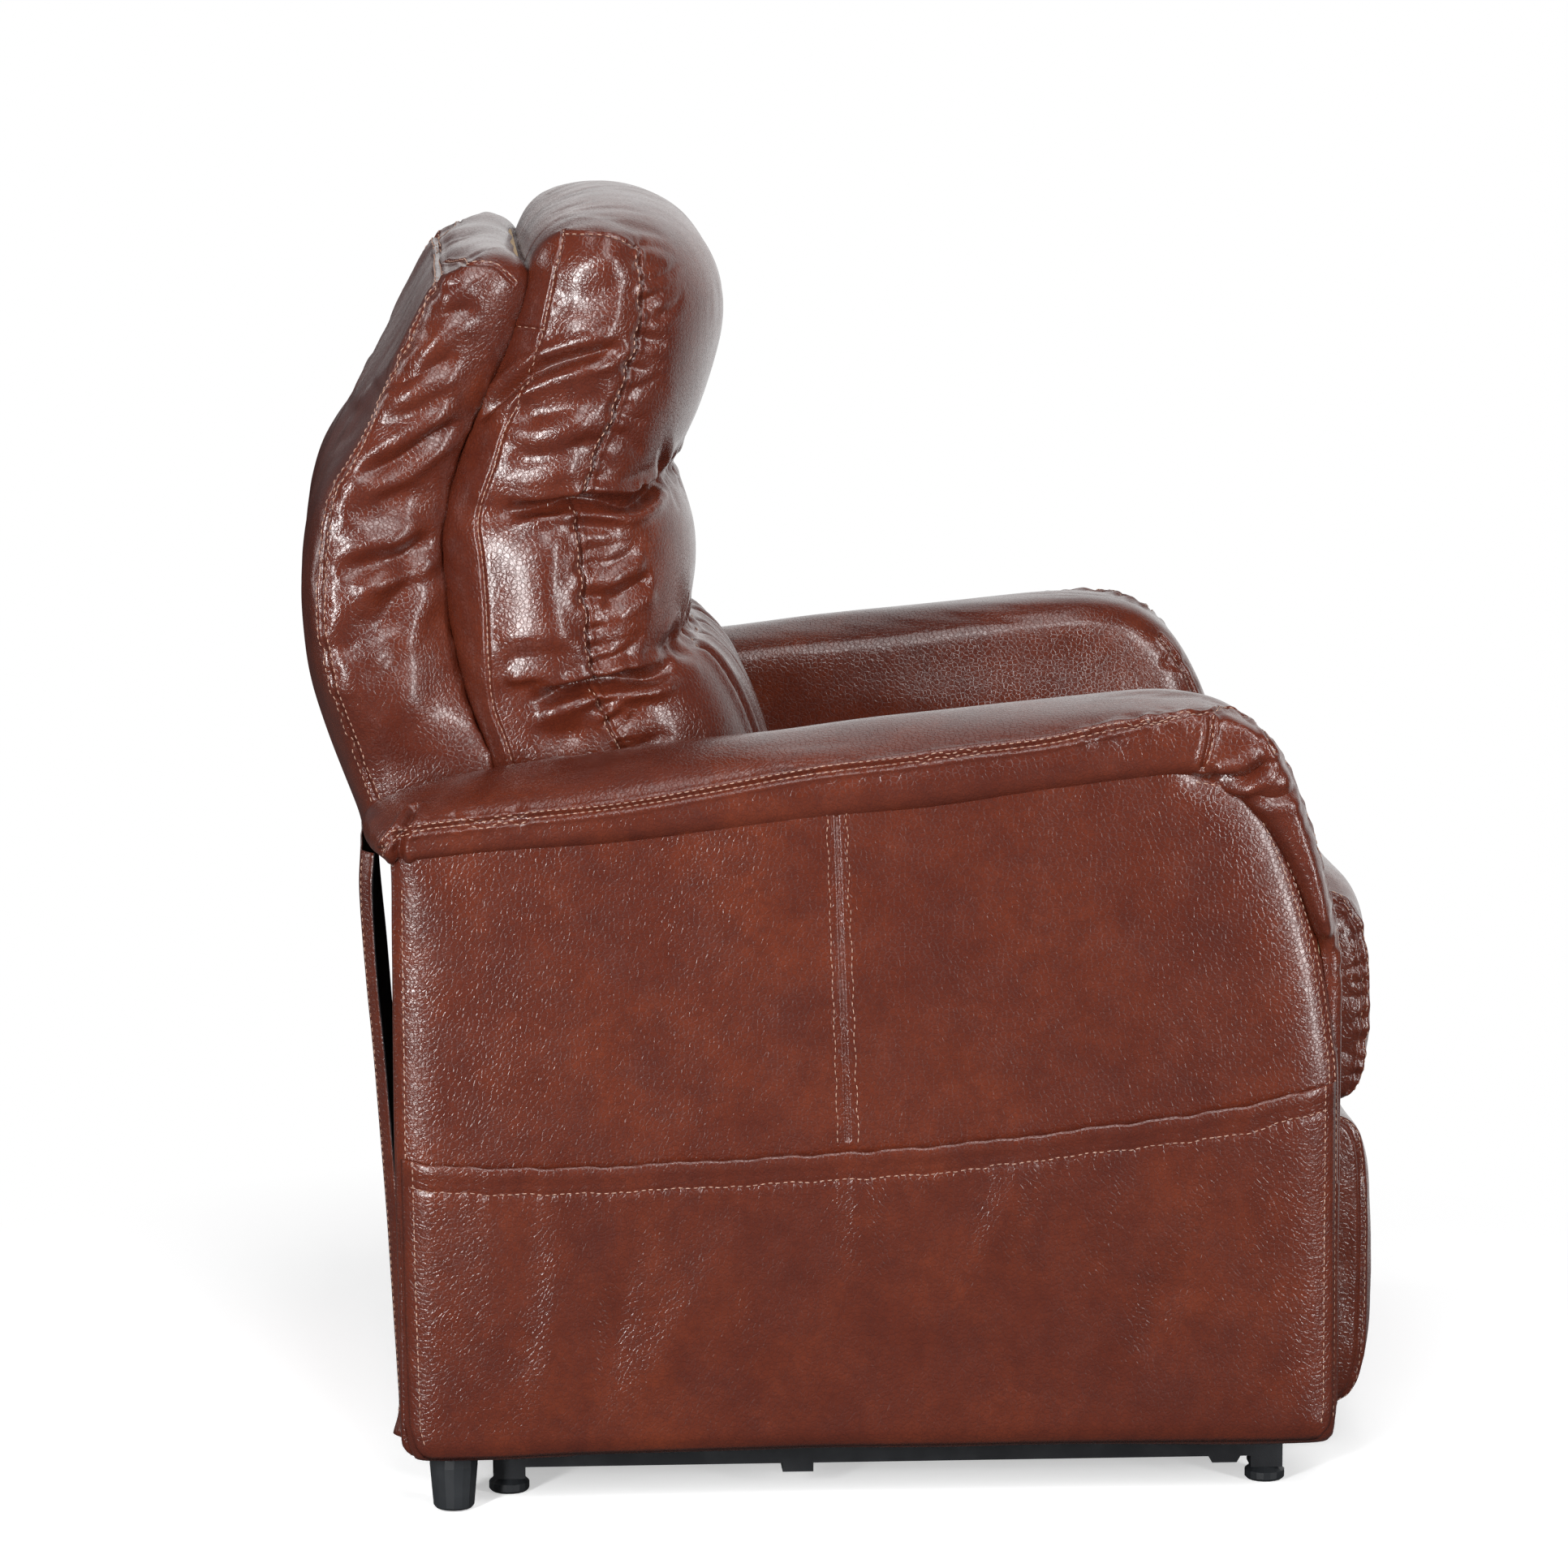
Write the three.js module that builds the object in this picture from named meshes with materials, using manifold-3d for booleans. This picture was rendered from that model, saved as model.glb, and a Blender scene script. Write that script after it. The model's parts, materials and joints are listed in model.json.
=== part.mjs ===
// Power lift recliner chair, in millimetres. +Z is up and the floor is z = 0. The chair faces -Y.
// Outlines are lists of [y, z] points, run anticlockwise when +Y is to the right and +Z is up.
import * as THREE from 'three';
import Module from 'manifold-3d';

const wasm = await Module();
wasm.setup();

// Widths, as distances from the middle plane. All follow the cushions.
const CUSHION_HALF = 267;
const ARM_CLEAR = 4;
const ARM_WIDE = 129;
const PAD_LIP = 10;
const PANEL_THICK = 15;
const LINING = 8;
const ARM_IN = CUSHION_HALF + ARM_CLEAR;
const PANEL_OUT = ARM_IN + ARM_WIDE;
const PAD_IN = ARM_IN - 1;
const PAD_OUT = PANEL_OUT + PAD_LIP;
const FOOT_PAD_HALF = CUSHION_HALF - 2;
const SKIRT_HALF = CUSHION_HALF + 15;
const DECK_HALF = CUSHION_HALF - 5;

// Layers of the mechanism: [inner, outer] distances from the middle plane
const LAYER_GAP = 0.3;
const PLATE_IN = CUSHION_HALF - 23;
const layer = (from, thick) => [PLATE_IN + from, PLATE_IN + from + thick];
const PLATE = layer(0, 6);
const GUIDE = layer(10, 6);
const LIFT = layer(-10, 6);
const LINK_D = layer(-7, 5);
const LINK_A = layer(-14, 5);
const LINK_C = layer(-21, 5);
const LINK_B = layer(-28, 5);
const BOARD_HALF = LIFT[0] - 4 - LAYER_GAP;
const FOOT_BOARD_HALF = LINK_C[0] - 1 - LAYER_GAP;

// Pivots of the lift linkage, [y, z]
const LIFT_PIVOT = [-220, 105];
const GUIDE_PIVOT = [-277, 97.1];
const LIFT_TOP = [148, 143.7];
const GUIDE_TOP = [20, 130];
const GUIDE_TOP_CLEAR = 2.2;

// Pivots of the footrest linkage, two exact parallelograms
const FOOT_PIVOT_A = [-352, 290];
const FOOT_BASE = [38, -24];
const FOOT_ARM = [60, -168];
const FOOT_TAIL = [34, -56];
const FOOT_REACH = [-82, 138];
const add = (p, q) => [p[0] + q[0], p[1] + q[1]];
const FOOT_PIVOT_B = add(FOOT_PIVOT_A, FOOT_BASE);
const FOOT_A1 = add(FOOT_PIVOT_A, FOOT_ARM);
const FOOT_B1 = add(FOOT_A1, FOOT_BASE);
const FOOT_A2 = add(FOOT_A1, FOOT_TAIL);
const FOOT_C1 = add(FOOT_A1, FOOT_REACH);
const FOOT_D1 = add(FOOT_C1, FOOT_TAIL);

// Drives: clevis, driven eye and side offset
const LIFT_DRIVE_BASE = [262, 62];
const LIFT_LUG_R = 55;
const LIFT_LUG_DEG = 60;
const FOOT_DRIVE_BASE = [150, 225];
const FOOT_LUG_R = 42;
const FOOT_LUG_DEG = -45;
const FOOT_DRIVE_X = 70;
const polar = (p, r, deg) => [p[0] + r * Math.cos(deg * Math.PI / 180), p[1] + r * Math.sin(deg * Math.PI / 180)];
const LIFT_EYE = polar(LIFT_PIVOT, LIFT_LUG_R, LIFT_LUG_DEG);
const FOOT_EYE = polar(FOOT_PIVOT_B, FOOT_LUG_R, FOOT_LUG_DEG);

const BACK_PIVOT = [200, 345];
const PIN_R = 5;
const PIN_CLEAR = 0.5;
const LIFT_BAR = 15;
const FOOT_BAR = 8;
const ROUND = 14;

// Base frame
const RAIL_IN = ARM_IN + 19;
const RAIL_OUT = RAIL_IN + 30;
const RAIL_LOW = 23;
const RAIL_TOP = 43;
const RAIL_FRONT = -369;
const RAIL_REAR = 298.5;
const POST = 27;
const GLIDE_R = 17;
const GLIDE_H = 12.5;
const CROSS_LOW = 18;
const FRONT_CROSS = [-275, -245];
const REAR_CROSS = [272, 298];

// Seat
const DECK_LOW = 310;
const DECK_TOP = 322;
const DECK_FRONT = -392;
const DECK_REAR = 160;

const BACK_PLY = 14;
const SHELL_WALL = 8;
const SHELL_CLOSED = 960;
const SKIRT_THICK = 3;
const POCKET_GAP = 24;
const POCKET_THICK = 2.5;
const POCKET_FRONT = -394;
const POCKET_REAR = 374;
const POCKET_LOW = 60;
const LEG_X = PANEL_OUT - 40;
const LEG_Y = 332;
const LEG_FOOT = 1.5;
const LEG_TOP = 48;

const LEATHER = ['#6b2a1c', 0.38, 0];
const LEATHER_DARK = ['#4e1d13', 0.45, 0];
const PLY = ['#b58a57', 0.7, 0];
const STEEL = ['#2b2c2e', 0.45, 0.9];
const ZINC = ['#a9adb0', 0.35, 1];
const PLASTIC = ['#1b1b1c', 0.5, 0];
const SATIN = ['#8d8f92', 0.45, 0];

const group = new THREE.Group();
group.name = 'lift_recliner_chair';
const bodies = {};

function body(name) {
  if (!bodies[name]) {
    bodies[name] = new THREE.Group();
    bodies[name].name = name;
    group.add(bodies[name]);
  }
  return bodies[name];
}

// Solid from a three.js geometry, and back
function solid(geometry) {
  const g = geometry.index ? geometry.clone() : mergeCorners(geometry);
  const clean = mergeCorners(g);
  const pos = clean.positions;
  return new wasm.Manifold(new wasm.Mesh({ numProp: 3, vertProperties: pos, triVerts: clean.tris }));
}

// Welds equal corners, so that the solid is closed
function mergeCorners(g) {
  if (g.positions) return g;
  const pos = g.attributes.position;
  const count = g.index ? g.index.count : pos.count;
  const found = new Map();
  const out = [];
  const tris = new Uint32Array(count);
  for (let i = 0; i < count; i++) {
    const k = g.index ? g.index.getX(i) : i;
    const p = [pos.getX(k), pos.getY(k), pos.getZ(k)];
    const key = p.map((v) => Math.round(v * 1e4)).join();
    if (!found.has(key)) {
      found.set(key, out.length / 3);
      out.push(...p);
    }
    tris[i] = found.get(key);
  }
  const keep = [];
  for (let i = 0; i < count; i += 3) {
    const [a, b, c] = [tris[i], tris[i + 1], tris[i + 2]];
    if (a !== b && b !== c && a !== c) keep.push(a, b, c);
  }
  return { positions: new Float32Array(out), tris: new Uint32Array(keep) };
}

function node(parent, name, shape, look, at = [0, 0, 0]) {
  const mesh = shape.getMesh();
  const g = new THREE.BufferGeometry();
  g.setAttribute('position', new THREE.BufferAttribute(new Float32Array(mesh.vertProperties), 3));
  g.setIndex(new THREE.BufferAttribute(new Uint32Array(mesh.triVerts), 1));
  const material = new THREE.MeshStandardMaterial({ color: look[0], roughness: look[1], metalness: look[2] });
  const flat = g.toNonIndexed();
  flat.computeVertexNormals();
  const out = new THREE.Mesh(flat, material);
  out.name = name;
  out.position.set(...at);
  body(parent).add(out);
}

function box(x, y, z) {
  const g = new THREE.BoxGeometry(Math.abs(x[1] - x[0]), y[1] - y[0], z[1] - z[0]);
  g.translate((x[0] + x[1]) / 2, (y[0] + y[1]) / 2, (z[0] + z[1]) / 2);
  return solid(g);
}

// Span between two distances on the side s, which is -1 or 1
const span = (s, layer) => (s < 0 ? [-layer[1], -layer[0]] : [layer[0], layer[1]]);

function pin(p, r, x, sides = ROUND) {
  const g = new THREE.CylinderGeometry(r, r, Math.abs(x[1] - x[0]), sides);
  g.rotateZ(Math.PI / 2);
  g.translate((x[0] + x[1]) / 2, p[0], p[1]);
  return solid(g);
}

function prism(points, x) {
  const shape = new THREE.Shape(points.map((p) => new THREE.Vector2(p[0], p[1])));
  const g = new THREE.ExtrudeGeometry(shape, { depth: Math.abs(x[1] - x[0]), bevelEnabled: false });
  const m = new THREE.Matrix4().makeBasis(
    new THREE.Vector3(0, 1, 0), new THREE.Vector3(0, 0, 1), new THREE.Vector3(1, 0, 0));
  g.applyMatrix4(m);
  g.translate(Math.min(x[0], x[1]), 0, 0);
  return solid(g);
}

// Bar with round ends from p to q
function bar(p, q, r, x) {
  const a = Math.atan2(q[1] - p[1], q[0] - p[0]) * 180 / Math.PI;
  const points = [];
  for (let i = 0; i <= 5; i++) points.push(polar(q, r, a - 90 + 36 * i));
  for (let i = 0; i <= 5; i++) points.push(polar(p, r, a + 90 + 36 * i));
  return prism(points, x);
}

// Outline drawn in by d. A point's third number is its share of that.
function inset(points, distance) {
  const n = points.length;
  return points.map((p, i) => {
    const d = distance * (p[2] ?? 1);
    const a = points[(i + n - 1) % n];
    const b = points[(i + 1) % n];
    const u = new THREE.Vector2(p[0] - a[0], p[1] - a[1]).normalize();
    const v = new THREE.Vector2(b[0] - p[0], b[1] - p[1]).normalize();
    const m = new THREE.Vector2(-u.y - v.y, u.x + v.x).normalize();
    const c = Math.max(0.6, m.dot(new THREE.Vector2(-u.y, u.x)));
    return [p[0] + m.x * d / c, p[1] + m.y * d / c];
  });
}

// Body through stations [x, outline], all with as many points
function loft(stations) {
  const n = stations[0][1].length;
  const pos = [];
  const index = [];
  for (const [x, points] of stations) {
    for (const p of points) pos.push(x, p[0], p[1]);
  }
  for (let k = 0; k + 1 < stations.length; k++) {
    for (let i = 0; i < n; i++) {
      const a = k * n + i;
      const b = k * n + (i + 1) % n;
      index.push(a, b, b + n, a, b + n, a + n);
    }
  }
  const cap = (points, base, flip) => {
    // Points in one line are nudged apart, so that the cap keeps every one of them
    const contour = points.map((p, i) => new THREE.Vector2(p[0] + 0.02 * Math.sin(5 * i), p[1] + 0.02 * Math.cos(3 * i)));
    for (const [a, b, c] of THREE.ShapeUtils.triangulateShape(contour, [])) {
      const area = new THREE.Vector2().subVectors(contour[b], contour[a])
        .cross(new THREE.Vector2().subVectors(contour[c], contour[a]));
      const up = (area > 0) !== flip;
      index.push(base + a, base + (up ? b : c), base + (up ? c : b));
    }
  };
  cap(stations[0][1], 0, true);
  cap(stations[stations.length - 1][1], (stations.length - 1) * n, false);
  const g = new THREE.BufferGeometry();
  g.setAttribute('position', new THREE.Float32BufferAttribute(pos, 3));
  g.setIndex(index);
  return solid(g);
}

// Cushion across the chair: full in the middle and drawn in at its sides
function cushion(points, half, stations) {
  const list = stations.map(([share, d]) => [share * half, inset(points, d)]);
  return loft(list);
}

const CROWN = [[-1, 17], [-0.97, 8], [-0.88, 3], [-0.55, 1], [0, 0], [0.55, 1], [0.88, 3], [0.97, 8], [1, 17]];

function drill(shape, p, r, x) {
  return shape.subtract(pin(p, r, [x[0] - 1, x[1] + 1], 12));
}

// ---- Base
function base() {
  for (const s of [-1, 1]) {
    const side = s < 0 ? 'right' : 'left';
    const mid = s * (RAIL_IN + RAIL_OUT) / 2;
    const postX = [mid - POST / 2, mid + POST / 2];
    let rail = box(span(s, [RAIL_IN, RAIL_OUT]), [RAIL_FRONT + 1, RAIL_REAR - 1], [RAIL_LOW, RAIL_TOP]);
    rail = rail.add(box(postX, [RAIL_FRONT, RAIL_FRONT + POST], [GLIDE_H, RAIL_TOP]));
    rail = rail.add(box(postX, [RAIL_REAR - POST, RAIL_REAR], [GLIDE_H, RAIL_TOP]));
    rail = rail.add(box(postX, [29, 55], [15, RAIL_LOW + 1]));
    rail = rail.add(prism([[-334, 24], [-330, 17], [-309, 17], [-305, 24]], postX));
    rail = rail.add(box(span(s, [PLATE[0], RAIL_IN + 1]), [-243, -203], [26, 40]));
    const ear = [[-243, 28], [-203, 28], [-203, 108], [-211, 119], [-229, 121], [-268, 113], [-291, 110],
      [-293, 86], [-285, 44], [-243, 44]];
    rail = rail.add(prism(ear, span(s, PLATE)));
    rail = drill(rail, LIFT_PIVOT, PIN_R + PIN_CLEAR, span(s, PLATE));
    rail = rail.add(pin(GUIDE_PIVOT, PIN_R, span(s, [PLATE[1] - 1, GUIDE[1] + 2])));
    node('base', `base_rail_${side}`, rail, STEEL);
    for (const [end, y] of [['front', RAIL_FRONT + POST / 2], ['rear', RAIL_REAR - POST / 2]]) {
      node('base', `glide_${end}_${side}`, glide(), PLASTIC, [mid, y, 0]);
    }
  }
  const reach = [-RAIL_IN, RAIL_IN];
  node('base', 'base_cross_front', box(reach, FRONT_CROSS, [CROSS_LOW, RAIL_TOP]), STEEL);
  let rear = box(reach, REAR_CROSS, [CROSS_LOW, RAIL_TOP]);
  rear = rear.add(clevis(LIFT_DRIVE_BASE, 0, [[248, 50], [262, 42], [290, 42], [290, 46], [274, 70], [250, 72]]));
  node('base', 'base_cross_rear', rear, STEEL);
  node('base', 'control_box', controlBox(), PLASTIC);
}

function glide() {
  const profile = [[0, 0], [GLIDE_R - 2, 0], [GLIDE_R, 2], [GLIDE_R, 8], [GLIDE_R - 5, GLIDE_H], [0, GLIDE_H]];
  const g = new THREE.LatheGeometry(profile.map((p) => new THREE.Vector2(p[0], p[1])), 18);
  g.rotateX(Math.PI / 2);
  return solid(g);
}

// Two ears and the pin through them, at the side offset x
function clevis(p, x, outline) {
  let out = prism(outline, [x - 19, x - 14]).add(prism(outline, [x + 14, x + 19]));
  out = out.add(pin(p, PIN_R, [x - 18, x + 18]));
  return out;
}

function controlBox() {
  let out = box([-205, -115], [238, 298], [RAIL_TOP, 80]);
  for (const x of [-185, -160]) out = out.subtract(pinY([x, 61], 8, [286, 300]));
  return out.subtract(box([-142, -124], [286, 300], [54, 68]));
}

function pinY(p, r, y) {
  const g = new THREE.CylinderGeometry(r, r, y[1] - y[0], 12);
  g.translate(p[0], (y[0] + y[1]) / 2, p[1]);
  return solid(g);
}

// ---- Lift arms, torque tube and guide links
function liftLinkage() {
  for (const s of [-1, 1]) {
    const side = s < 0 ? 'right' : 'left';
    const x = span(s, LIFT);
    let arm = bar(LIFT_PIVOT, LIFT_TOP, LIFT_BAR, x);
    for (const p of [LIFT_PIVOT, LIFT_TOP]) arm = arm.add(pin(p, PIN_R, span(s, [LIFT[1] - 1, PLATE[1] + 2])));
    node('lift_arms', `lift_arm_${side}`, arm, STEEL);
    const gx = span(s, GUIDE);
    let guide = bar(GUIDE_PIVOT, GUIDE_TOP, 12, gx);
    guide = drill(guide, GUIDE_PIVOT, PIN_R + PIN_CLEAR, gx);
    guide = drill(guide, GUIDE_TOP, PIN_R + GUIDE_TOP_CLEAR, gx);
    node('guide_links', `guide_link_${side}`, guide, STEEL);
  }
  let tube = pin(LIFT_PIVOT, 11, [-LIFT[0] + LAYER_GAP, LIFT[0] - LAYER_GAP]);
  for (const x of [[-19, -14], [14, 19]]) tube = tube.add(bar(LIFT_PIVOT, LIFT_EYE, 9, x));
  node('lift_arms', 'lift_torque_tube', tube.add(pin(LIFT_EYE, PIN_R, [-18, 18])), STEEL);
}

// ---- Drive from the clevis pin p to the lug pin q. The rod eye is slotted across the rod.
function drive(name, p, q, x, slot) {
  const length = Math.hypot(q[0] - p[0], q[1] - p[1]);
  const turn = Math.atan2(q[1] - p[1], q[0] - p[0]);
  const place = (shape) => shape.rotate([turn * 180 / Math.PI, 0, 0]).translate([x, p[0], p[1]]);
  let motor = box([-11, 11], [-12, 40], [-11, 11]);
  motor = drill(motor, [0, 0], PIN_R + PIN_CLEAR, [-11, 11]);
  motor = motor.add(box([-24, 24], [38, 132], [-20, 20])).add(pinY([0, -34], 17, [48, 126]));
  motor = motor.add(pinY([0, 0], 15, [130, length - 86]));
  motor = motor.subtract(pinY([0, 0], 9, [150, length]));
  node(`${name}_motor`, `${name}_motor`, place(motor), PLASTIC);
  const along = PIN_R + 2 + slot / 2;
  const across = PIN_R + 1 + slot;
  const eye = box([-9, 9], [length - along - 8, length + along + 4], [-across - 4, across + 4]);
  const hole = box([-12, 12], [length - along, length + along], [-across, across]);
  const rod = pinY([0, 0], 8, [170, length - along - 4]).add(eye);
  node(`${name}_rod`, `${name}_rod`, place(rod.subtract(hole)), ZINC);
}

// ---- Chair body: plates, tubes, deck, seat
const PLATE_OUTLINE = [[-366, 276], [-340, 262], [-328, 252], [-300, 252], [-286, 268], [-60, 262], [-2, 126],
  [8, 118], [32, 118], [128, 130], [140, 127], [158, 130], [164, 142], [172, 250], [216, 330], [218, 352],
  [206, 362], [190, 362], [172, 346], [166, DECK_LOW], [-366, DECK_LOW]];

function chairFrame() {
  for (const s of [-1, 1]) {
    const side = s < 0 ? 'right' : 'left';
    const x = span(s, PLATE);
    let plate = prism(PLATE_OUTLINE, x);
    plate = drill(plate, LIFT_TOP, PIN_R + PIN_CLEAR, x);
    plate = plate.add(pin(GUIDE_TOP, PIN_R, span(s, [PLATE[1] - 1, GUIDE[1] + 2])));
    plate = plate.add(pin(FOOT_PIVOT_A, PIN_R, span(s, [LINK_A[0] - 1, PLATE[0] + 1])));
    plate = plate.add(pin(FOOT_PIVOT_B, PIN_R, span(s, [LINK_B[0] + LAYER_GAP, PLATE[0] + 1])));
    plate = plate.add(pin(BACK_PIVOT, PIN_R, span(s, [LIFT[0] + LAYER_GAP, PLATE[0] + 1])));
    for (const y of [-170, 60]) {
      plate = plate.add(box(span(s, [PLATE[1] - 1, ARM_IN]), [y, y + 60], [272, 276]))
        .add(box(span(s, [ARM_IN - 4, ARM_IN]), [y, y + 60], [272, 306]));
    }
    node('chair', `side_plate_${side}`, plate, STEEL);
  }
  const reach = [-PLATE[0] + LAYER_GAP, PLATE[0] - LAYER_GAP];
  node('chair', 'carriage_cross_front', box(reach, [-120, -90], [285, DECK_LOW]), STEEL);
  let rear = box(reach, [164, 171], [212, 237]);
  const ears = [[138, 216], [165, 212], [165, 237], [138, 234]];
  rear = rear.add(clevis(FOOT_DRIVE_BASE, FOOT_DRIVE_X, ears));
  node('chair', 'carriage_cross_rear', rear, STEEL);
  node('chair', 'seat_deck', box([-DECK_HALF, DECK_HALF], [DECK_FRONT, DECK_REAR], [DECK_LOW, DECK_TOP]), PLY);
}

const SEAT = [[44, 462], [36, 488], [10, 500], [-80, 515], [-200, 523], [-330, 521], [-400, 514], [-430, 503],
  [-444, 484], [-453, 450], [-455, 390], [-450, 343], [-438, 314, 0.5], [-420, 307, 0.3], [-403, 313, 0.2],
  [-396, DECK_TOP, 0.2], [38, DECK_TOP, 0.5], [44, 330]];

function seat() {
  node('chair', 'seat_cushion', cushion(SEAT, CUSHION_HALF, CROWN), LEATHER);
}

// ---- Arms
const PANEL = [[-398, 52], [-200, 53], [36, 53], [238, 50], [300, 47], [353, 47], [367, 52], [373, 75], [376, 200], [378, 326],
  [378, 528], [376, 547], [247, 558], [138, 571], [37, 582], [-34, 591], [-284, 620], [-310, 613], [-333, 596],
  [-358, 560], [-377, 518], [-390, 475], [-397, 428], [-402, 380], [-404, 77]];
const PAD = [[376, 547.5], [392, 551], [402, 560], [404, 576], [392, 590], [356, 603], [295, 615], [189, 631],
  [31, 649], [-40, 656], [-140, 667], [-247, 678], [-295, 674], [-322, 663], [-350, 637], [-376, 585], [-394, 530],
  [-404, 478], [-397, 466], [-390, 475.5], [-377, 518.5], [-358, 560.5], [-333, 596.5], [-310, 613.5], [-284, 620.5],
  [-34, 591.5], [37, 582.5], [138, 571.5], [247, 558.5]];
const PAD_CROWN = [[0, 11], [0.05, 5], [0.18, 1], [0.5, 0], [0.82, 1], [0.95, 5], [1, 11]];

// The pad narrows near its ends by drawing only its outer side in
function padOutline(d) {
  const small = inset(PAD, d);
  return PAD.map((p, i) => (i > 18 ? p : small[i]));
}

function arm(s) {
  const side = s < 0 ? 'right' : 'left';
  const frameX = [ARM_IN + LINING, PANEL_OUT - PANEL_THICK];
  const core = inset(PANEL, 1);
  let frame = prism(core, span(s, frameX));
  frame = frame.subtract(box(span(s, [frameX[0] + 11, frameX[1] - 11]), [-375, 362], [30, 520]));
  frame = frame.subtract(box(span(s, [frameX[0] - 1, frameX[1] + 1]), [-420, -386.5], [40, 500]));
  node('chair', `arm_frame_${side}`, frame, PLY);
  const outer = [[PANEL_OUT - PANEL_THICK, 0.5], [PANEL_OUT - 5, 0.5], [PANEL_OUT - 1.5, 3], [PANEL_OUT, 9]];
  const inner = [[ARM_IN, 7], [ARM_IN + 2, 2], [ARM_IN + LINING, 1]];
  const sheet = (list) => {
    const stations = list.map(([x, d]) => [s * x, inset(PANEL, d)]);
    return loft(s < 0 ? stations.reverse() : stations);
  };
  node('chair', `side_panel_${side}`, sheet(outer), LEATHER);
  node('chair', `arm_lining_${side}`, sheet(inner), LEATHER_DARK);
  const pads = PAD_CROWN.map(([share, d]) => [s * (PAD_IN + share * (PAD_OUT - PAD_IN)), padOutline(d)]);
  const band = [[-386.8, 58], [-386.8, 400], [-384, 440], [-380, 462], [-386, 480], [-394, 484], [-397, 466],
    [-399, 428], [-403, 380], [-404, 77], [-399, 58]];
  const bandX = span(s, [frameX[0] + 0.3, frameX[1] - 0.3]);
  let pad = loft(s < 0 ? pads.reverse() : pads);
  pad = pad.add(prism(band, bandX).subtract(prism(core, span(s, frameX)).subtract(
    box(span(s, [frameX[0] - 1, frameX[1] + 1]), [-420, -386.5], [40, 500]))));
  node('chair', `arm_pad_${side}`, pad, LEATHER);
  node('chair', `side_pocket_${side}`, pocket(s), LEATHER);
  node('chair', `rear_leg_${side}`, leg(), PLASTIC, [s * LEG_X, LEG_Y, LEG_FOOT]);
}

function leg() {
  const profile = [[0, 0], [15, 0], [17, 2], [20, LEG_TOP - 10 - LEG_FOOT], [20, LEG_TOP - LEG_FOOT], [0, LEG_TOP - LEG_FOOT]];
  const g = new THREE.LatheGeometry(profile.map((p) => new THREE.Vector2(p[0], p[1])), 16);
  g.rotateX(Math.PI / 2);
  return solid(g);
}

// Hem height of the side pocket
function hem(y) {
  const t = (POCKET_REAR - y) / (POCKET_REAR - POCKET_FRONT);
  return 303 + 60 * Math.pow(t, 2.4) - 6 * Math.sin(Math.PI * t);
}

// Open bag on the side panel, from a grid of points
function pocket(s) {
  const ys = [];
  for (let i = 0; i <= 12; i++) ys.push(POCKET_FRONT + (POCKET_REAR - POCKET_FRONT) * (i < 1 ? 0 : i > 11 ? 1 : i / 12));
  ys.splice(1, 0, POCKET_FRONT + 12);
  ys.splice(ys.length - 1, 0, POCKET_REAR - 12);
  const rows = [0, 0.05, 0.3, 0.6, 1];
  const pos = [];
  const at = (i, j, out) => (i * rows.length + j) * 2 + out;
  ys.forEach((y, i) => {
    const edge = Math.min(y - POCKET_FRONT, POCKET_REAR - y);
    const wide = Math.min(1, Math.max(0, (edge - 12) / 52));
    rows.forEach((r) => {
      const z = POCKET_LOW + r * (hem(y) - POCKET_LOW);
      const gap = POCKET_GAP * wide * Math.max(0, (r - 0.05) / 0.95);
      for (const t of [0, POCKET_THICK]) pos.push(s * (PANEL_OUT + gap + t), y, z);
    });
  });
  const index = [];
  const quad = (a, b, c, d) => (s > 0 ? index.push(a, b, c, a, c, d) : index.push(a, c, b, a, d, c));
  const [n, m] = [ys.length - 1, rows.length - 1];
  for (let i = 0; i < n; i++) {
    for (let j = 0; j < m; j++) {
      quad(at(i, j, 1), at(i + 1, j, 1), at(i + 1, j + 1, 1), at(i, j + 1, 1));
      quad(at(i, j, 0), at(i, j + 1, 0), at(i + 1, j + 1, 0), at(i + 1, j, 0));
    }
    quad(at(i, 0, 0), at(i + 1, 0, 0), at(i + 1, 0, 1), at(i, 0, 1));
    quad(at(i, m, 1), at(i + 1, m, 1), at(i + 1, m, 0), at(i, m, 0));
  }
  for (let j = 0; j < m; j++) {
    quad(at(0, j, 0), at(0, j, 1), at(0, j + 1, 1), at(0, j + 1, 0));
    quad(at(n, j, 1), at(n, j, 0), at(n, j + 1, 0), at(n, j + 1, 1));
  }
  const g = new THREE.BufferGeometry();
  g.setAttribute('position', new THREE.Float32BufferAttribute(pos, 3));
  g.setIndex(index);
  return solid(g);
}

// ---- Back
const SPINE = [[236, 372], [262, 470], [290, 590], [312, 680], [324, 770], [316, 850], [300, 930], [276, 1010],
  [268, 1028]];
const HEAD = [[264, 1036], [254, 1060], [236, 1074], [212, 1081], [186, 1083], [160, 1080], [134, 1066], [110, 1042],
  [97, 1010], [95, 985], [103, 938], [116, 890], [130, 858], [150, 844], [200, 838], [315, 846],
  [299, 930], [277, 1000]];
const MIDDLE = [[316, 843], [200, 835], [150, 840], [134, 838], [123, 823], [118, 800], [117, 777], [119, 745],
  [124, 716], [140, 703], [200, 698], [313, 694], [324, 770]];
const LOW = [[312, 690], [200, 694], [140, 698], [118, 708], [104, 700], [90, 682], [74, 650], [62, 612], [54, 565],
  [50, 510], [51, 450], [58, 400], [72, 374], [100, 368], [232, 370], [262, 470], [290, 590]];
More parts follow.
